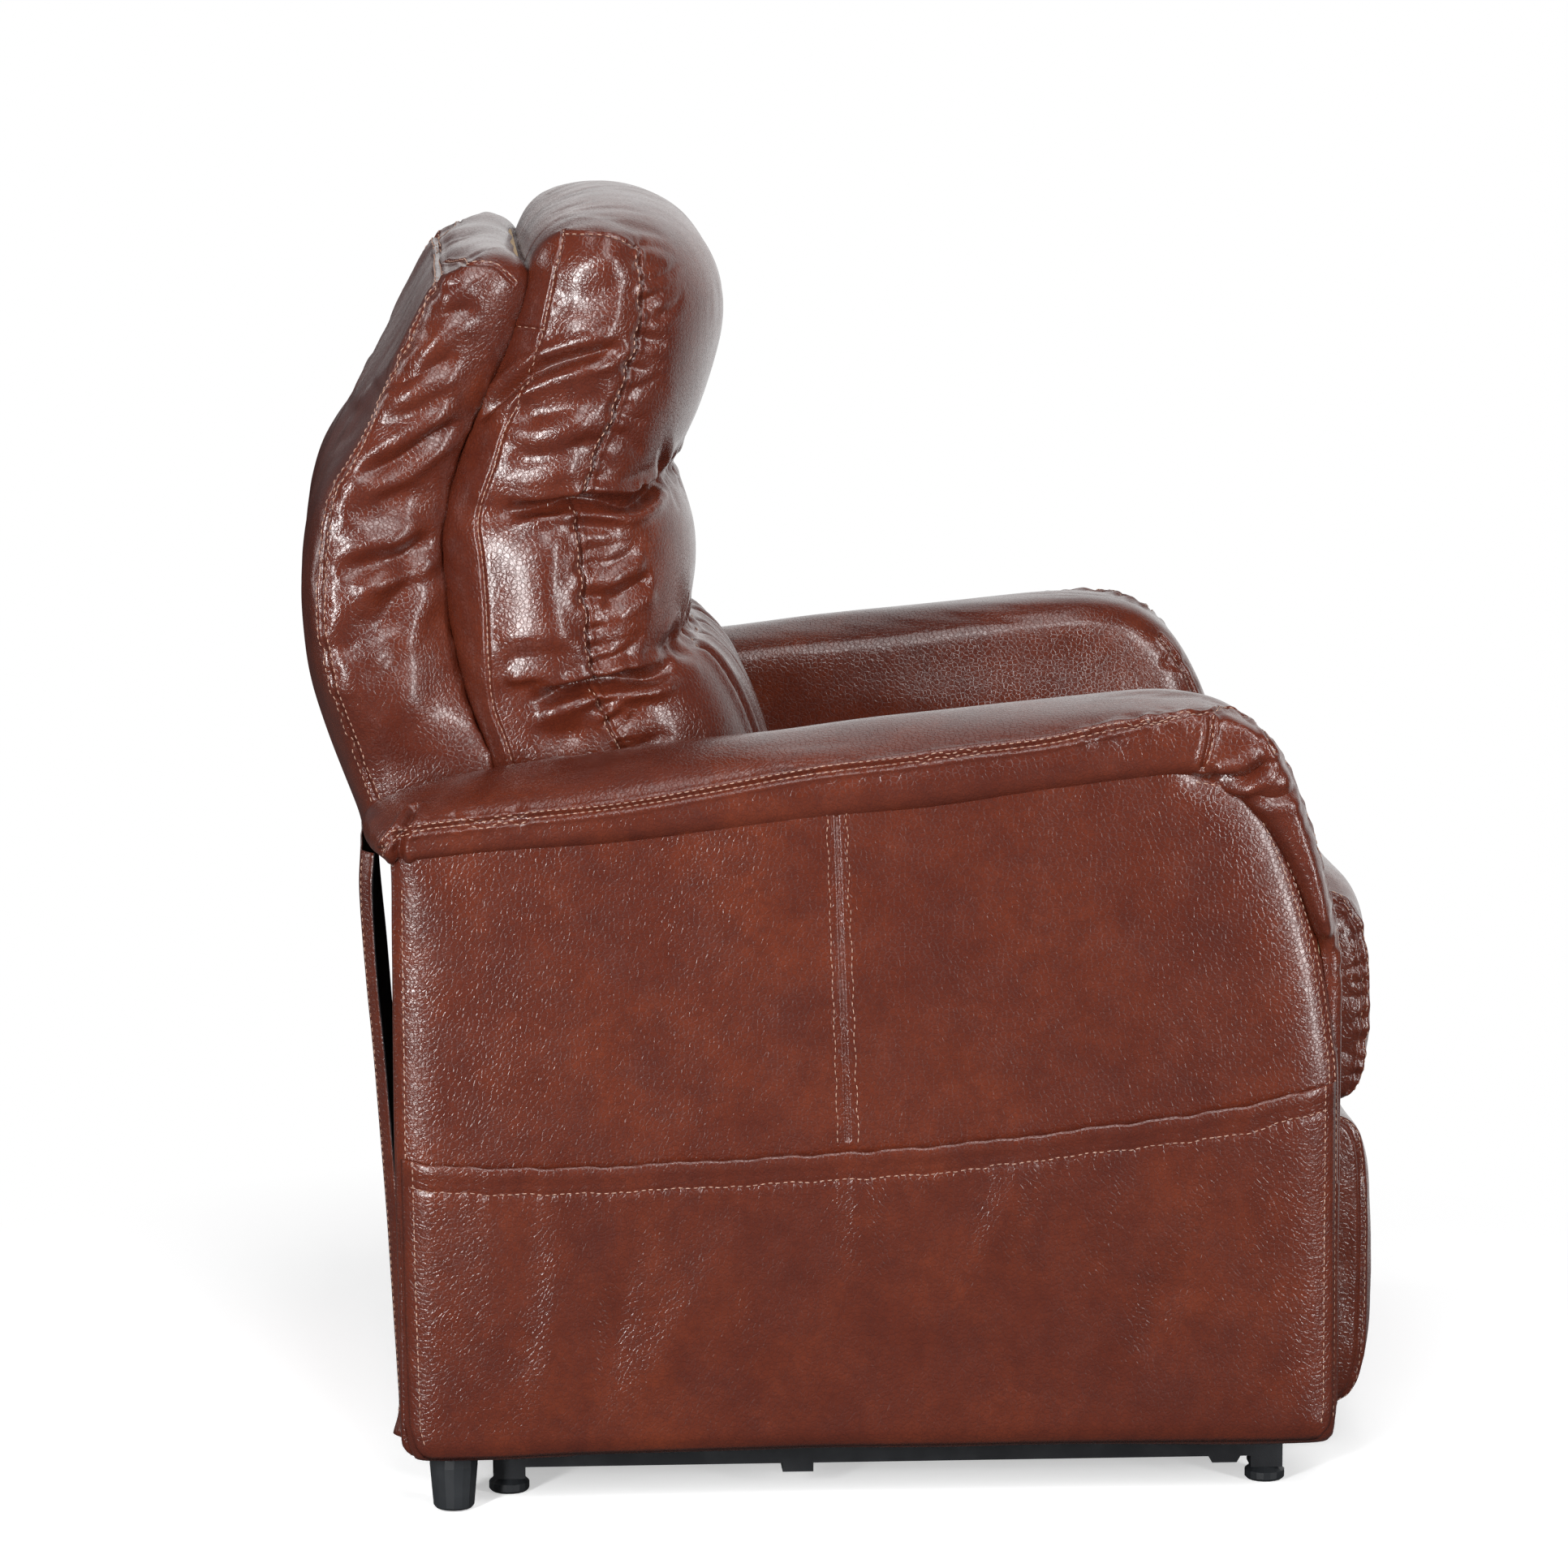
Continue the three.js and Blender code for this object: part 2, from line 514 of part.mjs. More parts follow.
const REAR = [[406, 531, 0.5], [408, 556, 0.8], [418, 590], [432, 634], [446, 682], [453, 735], [456, 775], [450, 828],
  [434, 869], [413, 905], [387, 949], [360, 1001, 0.9], [338, 1030, 0.7], [318, 1055, 0.5], [304, 1065, 0.4], [289, 1064, 0.3],
  [283, 1050, 0.3]];
const SHELL_CROWN = [[-1, 22], [-0.965, 10], [-0.88, 3], [0, 0], [0.88, 3], [0.965, 10], [1, 22]];
const HEAD_CROWN = [[-1, 26], [-0.965, 11], [-0.86, 4], [-0.5, 1], [0, 0], [0.5, 1], [0.86, 4], [0.965, 11], [1, 26]];

function back() {
  const behind = (d) => SPINE.map((p) => [p[0] + d, p[1], 0.4]);
  node('back', 'back_panel', prism(behind(BACK_PLY).concat(SPINE.slice().reverse()), [-BOARD_HALF, BOARD_HALF]), PLY);
  for (const s of [-1, 1]) {
    const x = span(s, LIFT);
    let bracket = bar(BACK_PIVOT, [234, 350], 12, x);
    const strap = [[228, 342], [250, 342], [262, 380], [290, 526], [278, 528], [263.5, 470], [238, 374], [232, 364]];
    bracket = drill(bracket.add(prism(strap, x)), BACK_PIVOT, PIN_R + PIN_CLEAR, x);
    node('back', `back_bracket_${s < 0 ? 'right' : 'left'}`, bracket, STEEL);
  }
  const front = behind(BACK_PLY + 0.4).filter((p) => p[1] > 540).reverse();
  const low = [[303, 531, 0.4]];
  const outline = REAR.concat(front, low);
  let shell = cushion(outline, CUSHION_HALF, SHELL_CROWN);
  const lower = outline.filter((p) => p[1] < SHELL_CLOSED).map((p) => [p[0], p[1]]);
  const hollow = inset(lower, SHELL_WALL + 2).map((p) => [p[0], p[1] < 560 ? p[1] - 40 : p[1]]);
  const inner = 0.88 * CUSHION_HALF;
  shell = shell.subtract(prism(hollow, [-inner, inner]));
  node('back', 'back_shell', shell, LEATHER);
  node('back', 'pillow_head', cushion(HEAD, CUSHION_HALF, HEAD_CROWN), LEATHER);
  node('back', 'pillow_middle', cushion(MIDDLE, CUSHION_HALF, HEAD_CROWN), LEATHER);
  node('back', 'pillow_low', cushion(LOW, CUSHION_HALF, CROWN), LEATHER);
  const skirt = [[382, 37], [378, 55], [379, 90], [383, 160], [391, 300], [402, 439], [405, 507], [404, 528]];
  const skin = skirt.concat(skirt.map((p) => [p[0] + SKIRT_THICK, p[1]]).reverse());
  node('chair', 'rear_skirt', prism(skin.reverse(), [-SKIRT_HALF, SKIRT_HALF]), LEATHER);
}

// ---- Footrest
function footrest() {
  const hole = PIN_R + PIN_CLEAR;
  for (const s of [-1, 1]) {
    const side = s < 0 ? 'right' : 'left';
    const [xa, xb, xc, xd] = [LINK_A, LINK_B, LINK_C, LINK_D].map((l) => span(s, l));
    let a = bar(FOOT_PIVOT_A, FOOT_A1, FOOT_BAR, xa).add(bar(FOOT_A1, FOOT_A2, FOOT_BAR, xa));
    a = drill(a, FOOT_PIVOT_A, hole, xa);
    a = a.add(pin(FOOT_A1, PIN_R, span(s, [LINK_C[0] + LAYER_GAP, LINK_A[0] + 1])));
    a = a.add(pin(FOOT_A2, PIN_R, span(s, [LINK_A[1] - 1, LINK_D[1] - LAYER_GAP])));
    node('foot_front_links', `foot_front_link_${side}`, a, STEEL);
    let b = drill(bar(FOOT_PIVOT_B, FOOT_B1, FOOT_BAR, xb), FOOT_PIVOT_B, hole, xb);
    b = b.add(pin(FOOT_B1, PIN_R, span(s, [LINK_B[1] - 1, LINK_C[1] - LAYER_GAP])));
    node('foot_rear_links', `foot_rear_link_${side}`, b, STEEL);
    let c = bar(FOOT_B1, FOOT_A1, FOOT_BAR, xc).add(bar(FOOT_A1, FOOT_C1, FOOT_BAR, xc));
    c = drill(drill(c, FOOT_A1, hole, xc), FOOT_B1, hole, xc);
    c = c.add(pin(FOOT_C1, PIN_R, span(s, [LINK_C[1] - 1, LINK_A[1] - LAYER_GAP])));
    node('foot_reach_links', `foot_reach_link_${side}`, c, STEEL);
    let d = drill(bar(FOOT_A2, FOOT_D1, FOOT_BAR, xd), FOOT_A2, hole, xd);
    d = d.add(pin(FOOT_D1, PIN_R, span(s, [LINK_A[0] + LAYER_GAP, LINK_D[0] + 1])));
    node('foot_guide_links', `foot_guide_link_${side}`, d, STEEL);
    let bracket = bar(FOOT_C1, FOOT_D1, FOOT_BAR, xa).add(prism([[-388, 150], [-376, 150], [-368, 262],
      [-372, 290], [-388, 290]], xa));
    bracket = drill(drill(bracket, FOOT_C1, hole, xa), FOOT_D1, hole, xa);
    bracket = bracket.add(box(span(s, [FOOT_BOARD_HALF + LAYER_GAP, LINK_A[1]]), [-388, -382], [120, 235]));
    node('footrest', `foot_bracket_${side}`, bracket, STEEL);
  }
  const reach = LINK_B[0] - LAYER_GAP;
  let tube = pin(FOOT_PIVOT_B, 9, [-reach, reach]);
  for (const x of [FOOT_DRIVE_X - 19, FOOT_DRIVE_X + 14]) tube = tube.add(bar(FOOT_PIVOT_B, FOOT_EYE, 8, [x, x + 5]));
  tube = tube.add(pin(FOOT_EYE, PIN_R, [FOOT_DRIVE_X - 18, FOOT_DRIVE_X + 18]));
  node('foot_rear_links', 'foot_torque_tube', tube, STEEL);
  node('footrest', 'foot_board', box([-FOOT_BOARD_HALF, FOOT_BOARD_HALF], [-388, -378], [60, 296]), PLY);
  const pad = [[-388.3, 50], [-388.3, 303], [-424, 303], [-437, 293], [-443, 270], [-446, 220],
    [-447, 160], [-446, 110], [-441, 76], [-432, 55], [-412, 44]];
  node('footrest', 'footrest_pad', cushion(pad, FOOT_PAD_HALF, FOOT_CROWN), LEATHER);
}
const FOOT_CROWN = [[-1, 12], [-0.97, 5], [-0.85, 1.5], [0, 0], [0.85, 1.5], [0.97, 5], [1, 12]];

// ---- Handset in the left pocket
const HANDSET = { x: [PANEL_OUT + 2.5, PANEL_OUT + 17.5], y: [-70, -24], z: [264, 404] };
const BUTTON_R = 6;
const BUTTON_Z = [382, 360];
const BUTTON_OUT = 2;
const BUTTON_WELL = 4;

function handset() {
  const y = (HANDSET.y[0] + HANDSET.y[1]) / 2;
  let shell = box(HANDSET.x, [HANDSET.y[0] + 4, HANDSET.y[1] - 4], HANDSET.z);
  shell = shell.add(box(HANDSET.x, HANDSET.y, [HANDSET.z[0] + 4, HANDSET.z[1] - 4]));
  for (const z of BUTTON_Z) {
    shell = shell.subtract(pin([y, z], BUTTON_R + 0.4, [HANDSET.x[1] - BUTTON_WELL, HANDSET.x[1] + 1], 16));
  }
  node('handset', 'handset_shell', shell, PLASTIC);
  const names = ['button_up', 'button_down'];
  BUTTON_Z.forEach((z, i) => {
    const travel = [HANDSET.x[1] - BUTTON_WELL + 1.6, HANDSET.x[1] + BUTTON_OUT];
    node(names[i], `handset_${names[i]}`, pin([y, z], BUTTON_R - 0.2, travel, 16), SATIN);
  });
}

base();
liftLinkage();
drive('lift_drive', LIFT_DRIVE_BASE, LIFT_EYE, 0, 6);
chairFrame();
seat();
arm(-1);
arm(1);
back();
footrest();
drive('foot_drive', FOOT_DRIVE_BASE, FOOT_EYE, FOOT_DRIVE_X, 9);
handset();

export default group;
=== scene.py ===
"""Covers, seams and finishes of a power lift recliner chair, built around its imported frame."""

import json
import math

import bmesh
import bpy
import numpy as np
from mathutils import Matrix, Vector
from mathutils.bvhtree import BVHTree


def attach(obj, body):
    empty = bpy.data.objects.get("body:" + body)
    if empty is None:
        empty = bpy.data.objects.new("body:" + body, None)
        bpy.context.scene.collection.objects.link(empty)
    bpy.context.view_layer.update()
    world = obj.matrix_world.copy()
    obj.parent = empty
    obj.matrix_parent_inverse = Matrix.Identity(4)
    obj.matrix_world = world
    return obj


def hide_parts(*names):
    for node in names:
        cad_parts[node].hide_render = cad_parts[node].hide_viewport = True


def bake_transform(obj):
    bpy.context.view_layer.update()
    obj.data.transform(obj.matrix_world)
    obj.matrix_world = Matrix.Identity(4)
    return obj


bl_info = {
    "name": "Lift Recliner Chair",
    "version": (1, 0, 0),
    "blender": (4, 5, 0),
    "location": "3D View > Sidebar > Recliner",
    "description": "Builds the covers, seams and finishes of a lift recliner chair around its frame",
    "category": "Add Mesh",
}

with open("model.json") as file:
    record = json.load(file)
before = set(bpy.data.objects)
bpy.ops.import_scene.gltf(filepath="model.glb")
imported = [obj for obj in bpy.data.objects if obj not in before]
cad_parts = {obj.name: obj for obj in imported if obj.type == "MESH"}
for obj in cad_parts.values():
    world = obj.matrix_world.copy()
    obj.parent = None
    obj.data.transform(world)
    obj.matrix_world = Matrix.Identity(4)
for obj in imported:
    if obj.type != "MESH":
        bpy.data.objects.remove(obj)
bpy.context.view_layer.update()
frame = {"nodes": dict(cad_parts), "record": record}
NODES = frame["nodes"]
MM = 0.001
SIDES = (("right", -1), ("left", 1))
OUTSIDE = 0.7  # rays at a cover start this far from the middle plane
WIDEST_FINE_LINE = 0.0075  # wider lines need no finer mesh
DEEPEST = 0.014  # the most that lines together press a cover in


# ---------------------------------------------------------------- settings


def colour_value(name, description, default):
    return bpy.props.FloatVectorProperty(name=name, description=description, subtype="COLOR", default=default)


def length_value(name, description, default):
    return bpy.props.FloatProperty(name=name, description=description, unit="LENGTH", default=default)


def place_value(name, description, default):
    return bpy.props.FloatVectorProperty(
        name=name, description=description, subtype="XYZ", unit="LENGTH", default=default
    )


def plain_value(name, description, default, low=0.0):
    return bpy.props.FloatProperty(name=name, description=description, default=default, min=low)


class LeatherSettings(bpy.types.PropertyGroup):
    """Colours and grain of the cover"""

    base: colour_value("Hide colour", "Main colour of the cover", (0.101, 0.0188, 0.0090))
    deep: colour_value("Deep colour", "Colour of the darker patches", (0.064, 0.0118, 0.0070))
    warm: colour_value("Warm colour", "Colour of the redder patches", (0.158, 0.0302, 0.0112))
    thread: colour_value("Thread colour", "Colour of the sewing thread", (0.58, 0.36, 0.27))
    lining: colour_value("Lining colour", "Colour of the inner dust cloth", (0.012, 0.012, 0.014))
    grain: plain_value("Grain cells", "Pebbles of the grain in one metre", 400.0, 100.0)
    gloss: bpy.props.FloatProperty(
        name="Roughness", description="Mean roughness of the finish", subtype="FACTOR", default=0.225, min=0.0, max=1.0
    )


class CushionSettings(bpy.types.PropertyGroup):
    """How the padded pieces are filled and sewn"""

    voxel: length_value("Cover mesh", "Mesh width of a cover before it is refined", 0.007)
    pressure: plain_value("Filling", "Pressure of the filling", 4.0)
    swell: length_value("Largest swell", "Furthest that the filling moves the cover", 0.014)
    stitch: length_value("Stitch pitch", "Distance between two stitches", 0.0062)
    thread: length_value("Thread", "Thickness of the sewing thread", 0.0011)


class StageSettings(bpy.types.PropertyGroup):
    """Camera, lamps and floor"""

    lens: bpy.props.FloatProperty(name="Lens", description="Focal length", unit="CAMERA", default=143.55)
    eye: place_value("Camera", "Place of the camera", (-5.42215, 0.36602, 1.41172))
    aim: place_value("Aim", "Point that the camera looks at", (0.0, 0.03439, 0.55134))
    floor: colour_value("Floor colour", "Colour of the floor", (0.86, 0.86, 0.86))
    sky: plain_value("Room light", "Level of the even light", 0.10)


# ---------------------------------------------------------------- shader wiring


class Value:
    """An output of a shader node that takes part in sums"""

    def __init__(self, graph, socket):
        self.graph = graph
        self.socket = socket

    def math(self, operation, *others):
        return self.graph.add("ShaderNodeMath", {"operation": operation}, dict(enumerate((self, *others))))

    def __add__(self, other):
        return self.math("ADD", other)

    def __mul__(self, other):
        return self.math("MULTIPLY", other)

    def __rsub__(self, other):
        return self.graph.add("ShaderNodeMath", {"operation": "SUBTRACT"}, {0: other, 1: self})

    def ramp(self, low, high, start=0.0, end=1.0):
        """Maps the span low to high onto start to end, held at the ends"""
        sockets = {"Value": self, "From Min": low, "From Max": high, "To Min": start, "To Max": end}
        return self.graph.add("ShaderNodeMapRange", {"clamp": True}, sockets, "Result")


class Graph:
    """The node tree of a material or of the world"""

    def __init__(self, name, world=False):
        self.owner = (bpy.data.worlds if world else bpy.data.materials).new(name)
        self.owner.use_nodes = True
        self.tree = self.owner.node_tree
        self.tree.nodes.clear()
        self.output = self.tree.nodes.new("ShaderNodeOutputWorld" if world else "ShaderNodeOutputMaterial")

    def add(self, kind, settings=None, sockets=None, out=0):
        node = self.tree.nodes.new(kind)
        for key, value in (settings or {}).items():
            setattr(node, key, value)
        for key, value in (sockets or {}).items():
            socket = node.inputs[key]
            if isinstance(value, Value):
                self.tree.links.new(value.socket, socket)
            else:
                socket.default_value = value
        return Value(self, node.outputs[out])

    def place(self):
        return self.add("ShaderNodeTexCoord", out="Object")

    def part(self, vector, axis):
        return self.add("ShaderNodeSeparateXYZ", None, {0: vector}, axis)

    def noise(self, at, scale, detail=2.0, rough=0.5, warp=0.0):
        sockets = {"Vector": at, "Scale": scale, "Detail": detail, "Roughness": rough, "Distortion": warp}
        return self.add("ShaderNodeTexNoise", None, sockets, "Fac")

    def cells(self, at, scale, feature):
        sockets = {"Vector": at, "Scale": scale, "Randomness": 1.0}
        return self.add("ShaderNodeTexVoronoi", {"feature": feature}, sockets, "Distance")

    def mix(self, share, one, two):
        node = self.add("ShaderNodeMix", {"data_type": "RGBA"}, {0: share}, 2)
        mixer = node.socket.node
        for index, colour in ((6, one), (7, two)):
            if isinstance(colour, Value):
                self.tree.links.new(colour.socket, mixer.inputs[index])
            else:
                mixer.inputs[index].default_value = (*colour[:3], 1.0)
        return node

    def blend(self, share, one, two):
        return self.add("ShaderNodeMixShader", None, {0: share, 1: one, 2: two}, "Shader")

    def bump(self, height, distance, strength, normal=None):
        sockets = {"Height": height, "Distance": distance, "Strength": strength}
        if normal is not None:
            sockets["Normal"] = normal
        return self.add("ShaderNodeBump", None, sockets, "Normal")

    def finish(self, **sockets):
        named = {key.replace("_", " "): value for key, value in sockets.items()}
        for key, value in named.items():
            if not isinstance(value, Value) and hasattr(value, "__len__") and len(value) == 3:
                named[key] = (*value, 1.0)
        return self.surface(self.add("ShaderNodeBsdfPrincipled", None, named, "BSDF"))

    def surface(self, shader):
        self.tree.links.new(shader.socket, self.output.inputs["Surface"])
        return self.owner


def shaded(colour, factor, lift=0.0):
    return tuple(factor * part + lift for part in colour)


def leather(name, look, painted_shade_factor=1.0):
    """Coated hide: clouded colour, pebble grain and a soft gloss"""
    graph = Graph(name)
    at = graph.place()
    cloud = graph.noise(at, 8.0, 7.0, 0.7, 0.4)
    patch = graph.noise(at, 15.0, 6.0, 0.7, 0.3)
    fleck = graph.noise(at, 190.0, 2.0)
    brush = graph.noise(at, 52.0, 4.0, 0.7)
    # A factor below 1 darkens all three colours: painted shade for the shaded copy of the hide.
    base, deep, warm = (shaded(colour, painted_shade_factor) for colour in (look.base, look.deep, look.warm))
    colour = graph.mix(cloud.ramp(0.42, 0.66, 0.0, 0.7), base, warm)
    colour = graph.mix(patch.ramp(0.54, 0.32, 0.0, 0.6), colour, deep)
    colour = graph.mix(brush.ramp(0.40, 0.75, 0.0, 0.5), colour, deep)
    pebble = graph.cells(at, look.grain, "SMOOTH_F1")
    crease = graph.cells(at, 0.62 * look.grain, "DISTANCE_TO_EDGE")
    valley = crease.ramp(0.0, 0.14)
    colour = graph.mix(fleck.ramp(0.35, 0.75, 0.0, 0.22), colour, deep)
    # The colour is darker along the grain's creases: painted shade.
    colour = graph.mix(valley.ramp(0.0, 1.0, 0.22, 0.0), colour, shaded(deep, 0.5))
    wear = graph.noise(at, 28.0, 3.0)
    rough = wear.ramp(0.3, 0.7, look.gloss - 0.03, look.gloss + 0.05) + valley.ramp(0.0, 1.0, 0.06, 0.0)
    height = (1.0 - pebble) * 0.85 + valley * 0.45
    normal = graph.bump(height, 0.00048, 0.6)
    soft = graph.noise(at, 95.0, 3.0)
    normal = graph.bump(soft, 0.0007, 0.25, normal)
    return graph.finish(
        Base_Color=colour, Roughness=rough, Normal=normal, Coat_Weight=0.2, Coat_Roughness=0.16, Specular_IOR_Level=0.5
    )


def thread(name, look):
    """Twisted sewing thread"""
    graph = Graph(name)
    at = graph.place()
    twist = graph.noise(at, 1400.0, 1.0)
    soil = graph.noise(at, 24.0, 2.0)
    colour = graph.mix(twist.ramp(0.3, 0.7), shaded(look.thread, 0.6), look.thread)
    colour = graph.mix(soil.ramp(0.45, 0.75, 0.0, 0.5), colour, look.base)
    return graph.finish(Base_Color=colour, Roughness=0.55, Normal=graph.bump(twist, 0.0002, 0.5))


def cloth(name, colour):
    """Plain woven dust cloth"""
    graph = Graph(name)
    at = graph.place()
    bands = {"Vector": at, "Scale": 260.0, "Distortion": 0.4}
    weave = [graph.add("ShaderNodeTexWave", {"bands_direction": axis}, bands, "Fac") for axis in ("Y", "Z")]
    height = weave[0] * weave[1]
    tint = graph.mix(height.ramp(0.0, 1.0), shaded(colour, 0.5), shaded(colour, 1.6))
    return graph.finish(Base_Color=tint, Roughness=0.85, Normal=graph.bump(height, 0.0004, 0.6))


def painted_steel(name, colour, rough=0.42):
    """Powder-coated steel, lighter where it is rubbed"""
    graph = Graph(name)
    at = graph.place()
    peel = graph.noise(at, 900.0, 2.0)
    dust = graph.noise(at, 22.0, 4.0, 0.65)
    tint = graph.mix(dust.ramp(0.45, 0.8, 0.0, 0.6), colour, shaded(colour, 1.9, 0.004))
    finish = dust.ramp(0.3, 0.7, rough - 0.06, rough + 0.1)
    return graph.finish(Base_Color=tint, Metallic=0.25, Roughness=finish, Normal=graph.bump(peel, 0.00025, 0.5))


def zinc_steel(name):
    """Bright plated steel with fine turning marks"""
    graph = Graph(name)
    at = graph.place()
    marks = graph.noise(at, 700.0, 3.0)
    stain = graph.noise(at, 18.0, 3.0)
    tint = graph.mix(stain.ramp(0.4, 0.7), (0.56, 0.57, 0.58), (0.40, 0.41, 0.42))
    rough = stain.ramp(0.3, 0.7, 0.24, 0.4)
    return graph.finish(Base_Color=tint, Metallic=1.0, Roughness=rough, Normal=graph.bump(marks, 0.0001, 0.4))


def moulded_plastic(name, colour, rough=0.45):
    """Moulded plastic with a fine spark-eroded texture"""
    graph = Graph(name)
    at = graph.place()
    grit = graph.noise(at, 1300.0, 2.0)
    scuff = graph.noise(at, 40.0, 4.0, 0.7)
    tint = graph.mix(scuff.ramp(0.5, 0.8, 0.0, 0.5), colour, shaded(colour, 1.7, 0.003))
    finish = scuff.ramp(0.3, 0.7, rough - 0.06, rough + 0.08)
    return graph.finish(Base_Color=tint, Roughness=finish, Normal=graph.bump(grit, 0.0002, 0.45))


def plywood(name):
    """Bare plywood with a stretched grain"""
    graph = Graph(name)
    at = graph.add("ShaderNodeMapping", None, {"Vector": graph.place(), "Scale": (1.0, 0.12, 1.0)}, "Vector")
    streak = graph.noise(at, 120.0, 4.0, 0.6, 0.8)
    broad = graph.noise(at, 14.0, 3.0, 0.5, 1.5)
    tint = graph.mix(streak.ramp(0.3, 0.7), (0.50, 0.33, 0.17), (0.62, 0.45, 0.26))
    tint = graph.mix(broad.ramp(0.45, 0.75, 0.0, 0.5), tint, (0.36, 0.22, 0.10))
    rough = streak.ramp(0.2, 0.8, 0.6, 0.75)
    return graph.finish(Base_Color=tint, Roughness=rough, Normal=graph.bump(streak, 0.0004, 0.5))


FINISHES = {}
MAKERS = {
    "hide": lambda look: leather("Hide", look),
    # Darker copy of the hide: painted shade for the arms' inner linings and rear caps.
    "hide_shaded": lambda look: leather("Hide shaded", look, 0.9),
    "thread": lambda look: thread("Thread", look),
    "dust_cloth": lambda look: cloth("Dust cloth", look.lining),
    "frame_steel": lambda look: painted_steel("Powder-coated steel", (0.022, 0.023, 0.026)),
    "rod_steel": lambda look: zinc_steel("Plated rod"),
    "black_plastic": lambda look: moulded_plastic("Black plastic", (0.018, 0.020, 0.023)),
    "button_grey": lambda look: moulded_plastic("Grey keys", (0.30, 0.31, 0.32), 0.4),
    "ply": lambda look: plywood("Plywood"),
}


def finish_of(name):
    """The material of that name, made once"""
    if name not in FINISHES:
        FINISHES[name] = MAKERS[name](bpy.context.scene.recliner_leather)
    return FINISHES[name]


# ---------------------------------------------------------------- mesh work


def choose(*objects):
    """Only these objects are selected, the last one active"""
    bpy.ops.object.select_all(action="DESELECT")
    for item in objects:
        item.select_set(True)
    bpy.context.view_layer.objects.active = objects[-1]


def lengths_along(path):
    """Distance of each point of a path from its start"""
    return np.concatenate([[0], np.cumsum(np.linalg.norm(np.diff(path, axis=0), axis=1))])


def smooth_line(points, count):
    """Even points along a smooth curve through the given ones, whose tangents don't overshoot short spans"""
    p = np.array(points, float)
    p = np.vstack([2 * p[0] - p[1], p, 2 * p[-1] - p[-2]])
    longest = 1.2
    dense = []
    for i in range(1, len(p) - 2):
        a, b, c, d = p[i - 1 : i + 3]
        t = np.linspace(0, 1, 12, endpoint=False)[:, None]
        m0, m1 = 0.5 * (c - a), 0.5 * (d - b)
        gap = np.linalg.norm(c - b)
        for m in (m0, m1):
            length = np.linalg.norm(m)
            if length > longest * gap:
                m *= longest * gap / length
        dense.append(
            (2 * t**3 - 3 * t**2 + 1) * b + (t**3 - 2 * t**2 + t) * m0 + (3 * t**2 - 2 * t**3) * c + (t**3 - t**2) * m1
        )
    line = np.vstack([*dense, p[-2]])
    gone = lengths_along(line)
    at = np.linspace(0, gone[-1], count)
    return np.stack([np.interp(at, gone, line[:, k]) for k in range(line.shape[1])], 1)


def ring(segments, counts):
    """Closed outline in metres from segments that share their ends, each with its own number of points"""
    parts = [smooth_line(s, n + 1)[:-1] for s, n in zip(segments, counts)]
    return np.vstack(parts) * MM


def drawn_in(outline, distance, share=1.0):
    """Outline moved inwards by a distance in metres, or by a share of it at each point"""
    ahead, behind = np.roll(outline, -1, 0), np.roll(outline, 1, 0)
    tangent = ahead - behind
    tangent /= np.linalg.norm(tangent, axis=1)[:, None] + 1e-12
    area = np.sum(outline[:, 0] * ahead[:, 1] - ahead[:, 0] * outline[:, 1])
    inward = np.stack([-tangent[:, 1], tangent[:, 0]], 1) * np.sign(area)
    return outline + inward * (distance * np.broadcast_to(share, len(outline)))[:, None]


def edit_mesh(data, change):
    """Changes a mesh by a function of its bmesh"""
    shape = bmesh.new()
    shape.from_mesh(data)
    change(shape)
    shape.to_mesh(data)
    shape.free()


def face_outwards(shape):
    bmesh.ops.recalc_face_normals(shape, faces=shape.faces)


def weld(shape):
    bmesh.ops.remove_doubles(shape, verts=shape.verts, dist=1e-6)
    face_outwards(shape)


def link(name, data):
    """A new object in the scene"""
    item = bpy.data.objects.new(name, data)
    bpy.context.scene.collection.objects.link(item)
    return item


def mesh_of(name, points, faces):
    data = bpy.data.meshes.new(name)
    data.from_pydata([tuple(point) for point in points], [], faces)
    return data


def loft(name, stations):
    """Closed body through outlines that stand across the chair: stations are (x, outline)"""
    count = len(stations[0][1])
    verts = [(x, y, z) for x, outline in stations for y, z in outline]
    faces = []
    for k in range(len(stations) - 1):
        for i in range(count):
            j = (i + 1) % count
            faces.append((k * count + i, k * count + j, (k + 1) * count + j, (k + 1) * count + i))
    faces.append(tuple(range(count))[::-1])
    faces.append(tuple((len(stations) - 1) * count + i for i in range(count)))
    data = mesh_of(name, verts, faces)
    edit_mesh(data, weld)
    return link(name, data)


def crowned(name, middle, side, half, power=4.0, bulge=((0.005, 0.010), (0.009, 0.024)), steps=14):
    """Cushion body: the middle outline turns into the side outline towards both ends, which swell outwards"""
    stations = []
    turns = [math.sin(0.5 * math.pi * k / steps) for k in range(-steps, steps + 1)]
    for t in turns:
        share = (1 - abs(t) ** power) ** 0.5
        stations.append((t * half, side + (middle - side) * share))
    for out, inset in bulge:
        shape = drawn_in(side, inset)
        stations.append((half + out, shape))
        stations.insert(0, (-half - out, shape))
    return loft(name, stations)


def rise(values, start, width):
    """0 up to the start and 1 from a width further on, which is negative for a fall"""
    return np.clip((values - start) / width, 0, 1)


def eased(values, start, width):
    """The same with soft ends"""
    share = rise(values, start, width)
    return share * share * (3 - 2 * share)


def points_of(item):
    out = np.empty(len(item.data.vertices) * 3)
    item.data.vertices.foreach_get("co", out)
    return out.reshape(-1, 3)


def set_points(item, points):
    item.data.vertices.foreach_set("co", points.astype(np.float32).ravel())
    item.data.update()


def normals_of(item):
    out = np.empty(len(item.data.vertices) * 3, np.float32)
    item.data.vertex_normals.foreach_get("vector", out)
    return out.reshape(-1, 3).astype(float)


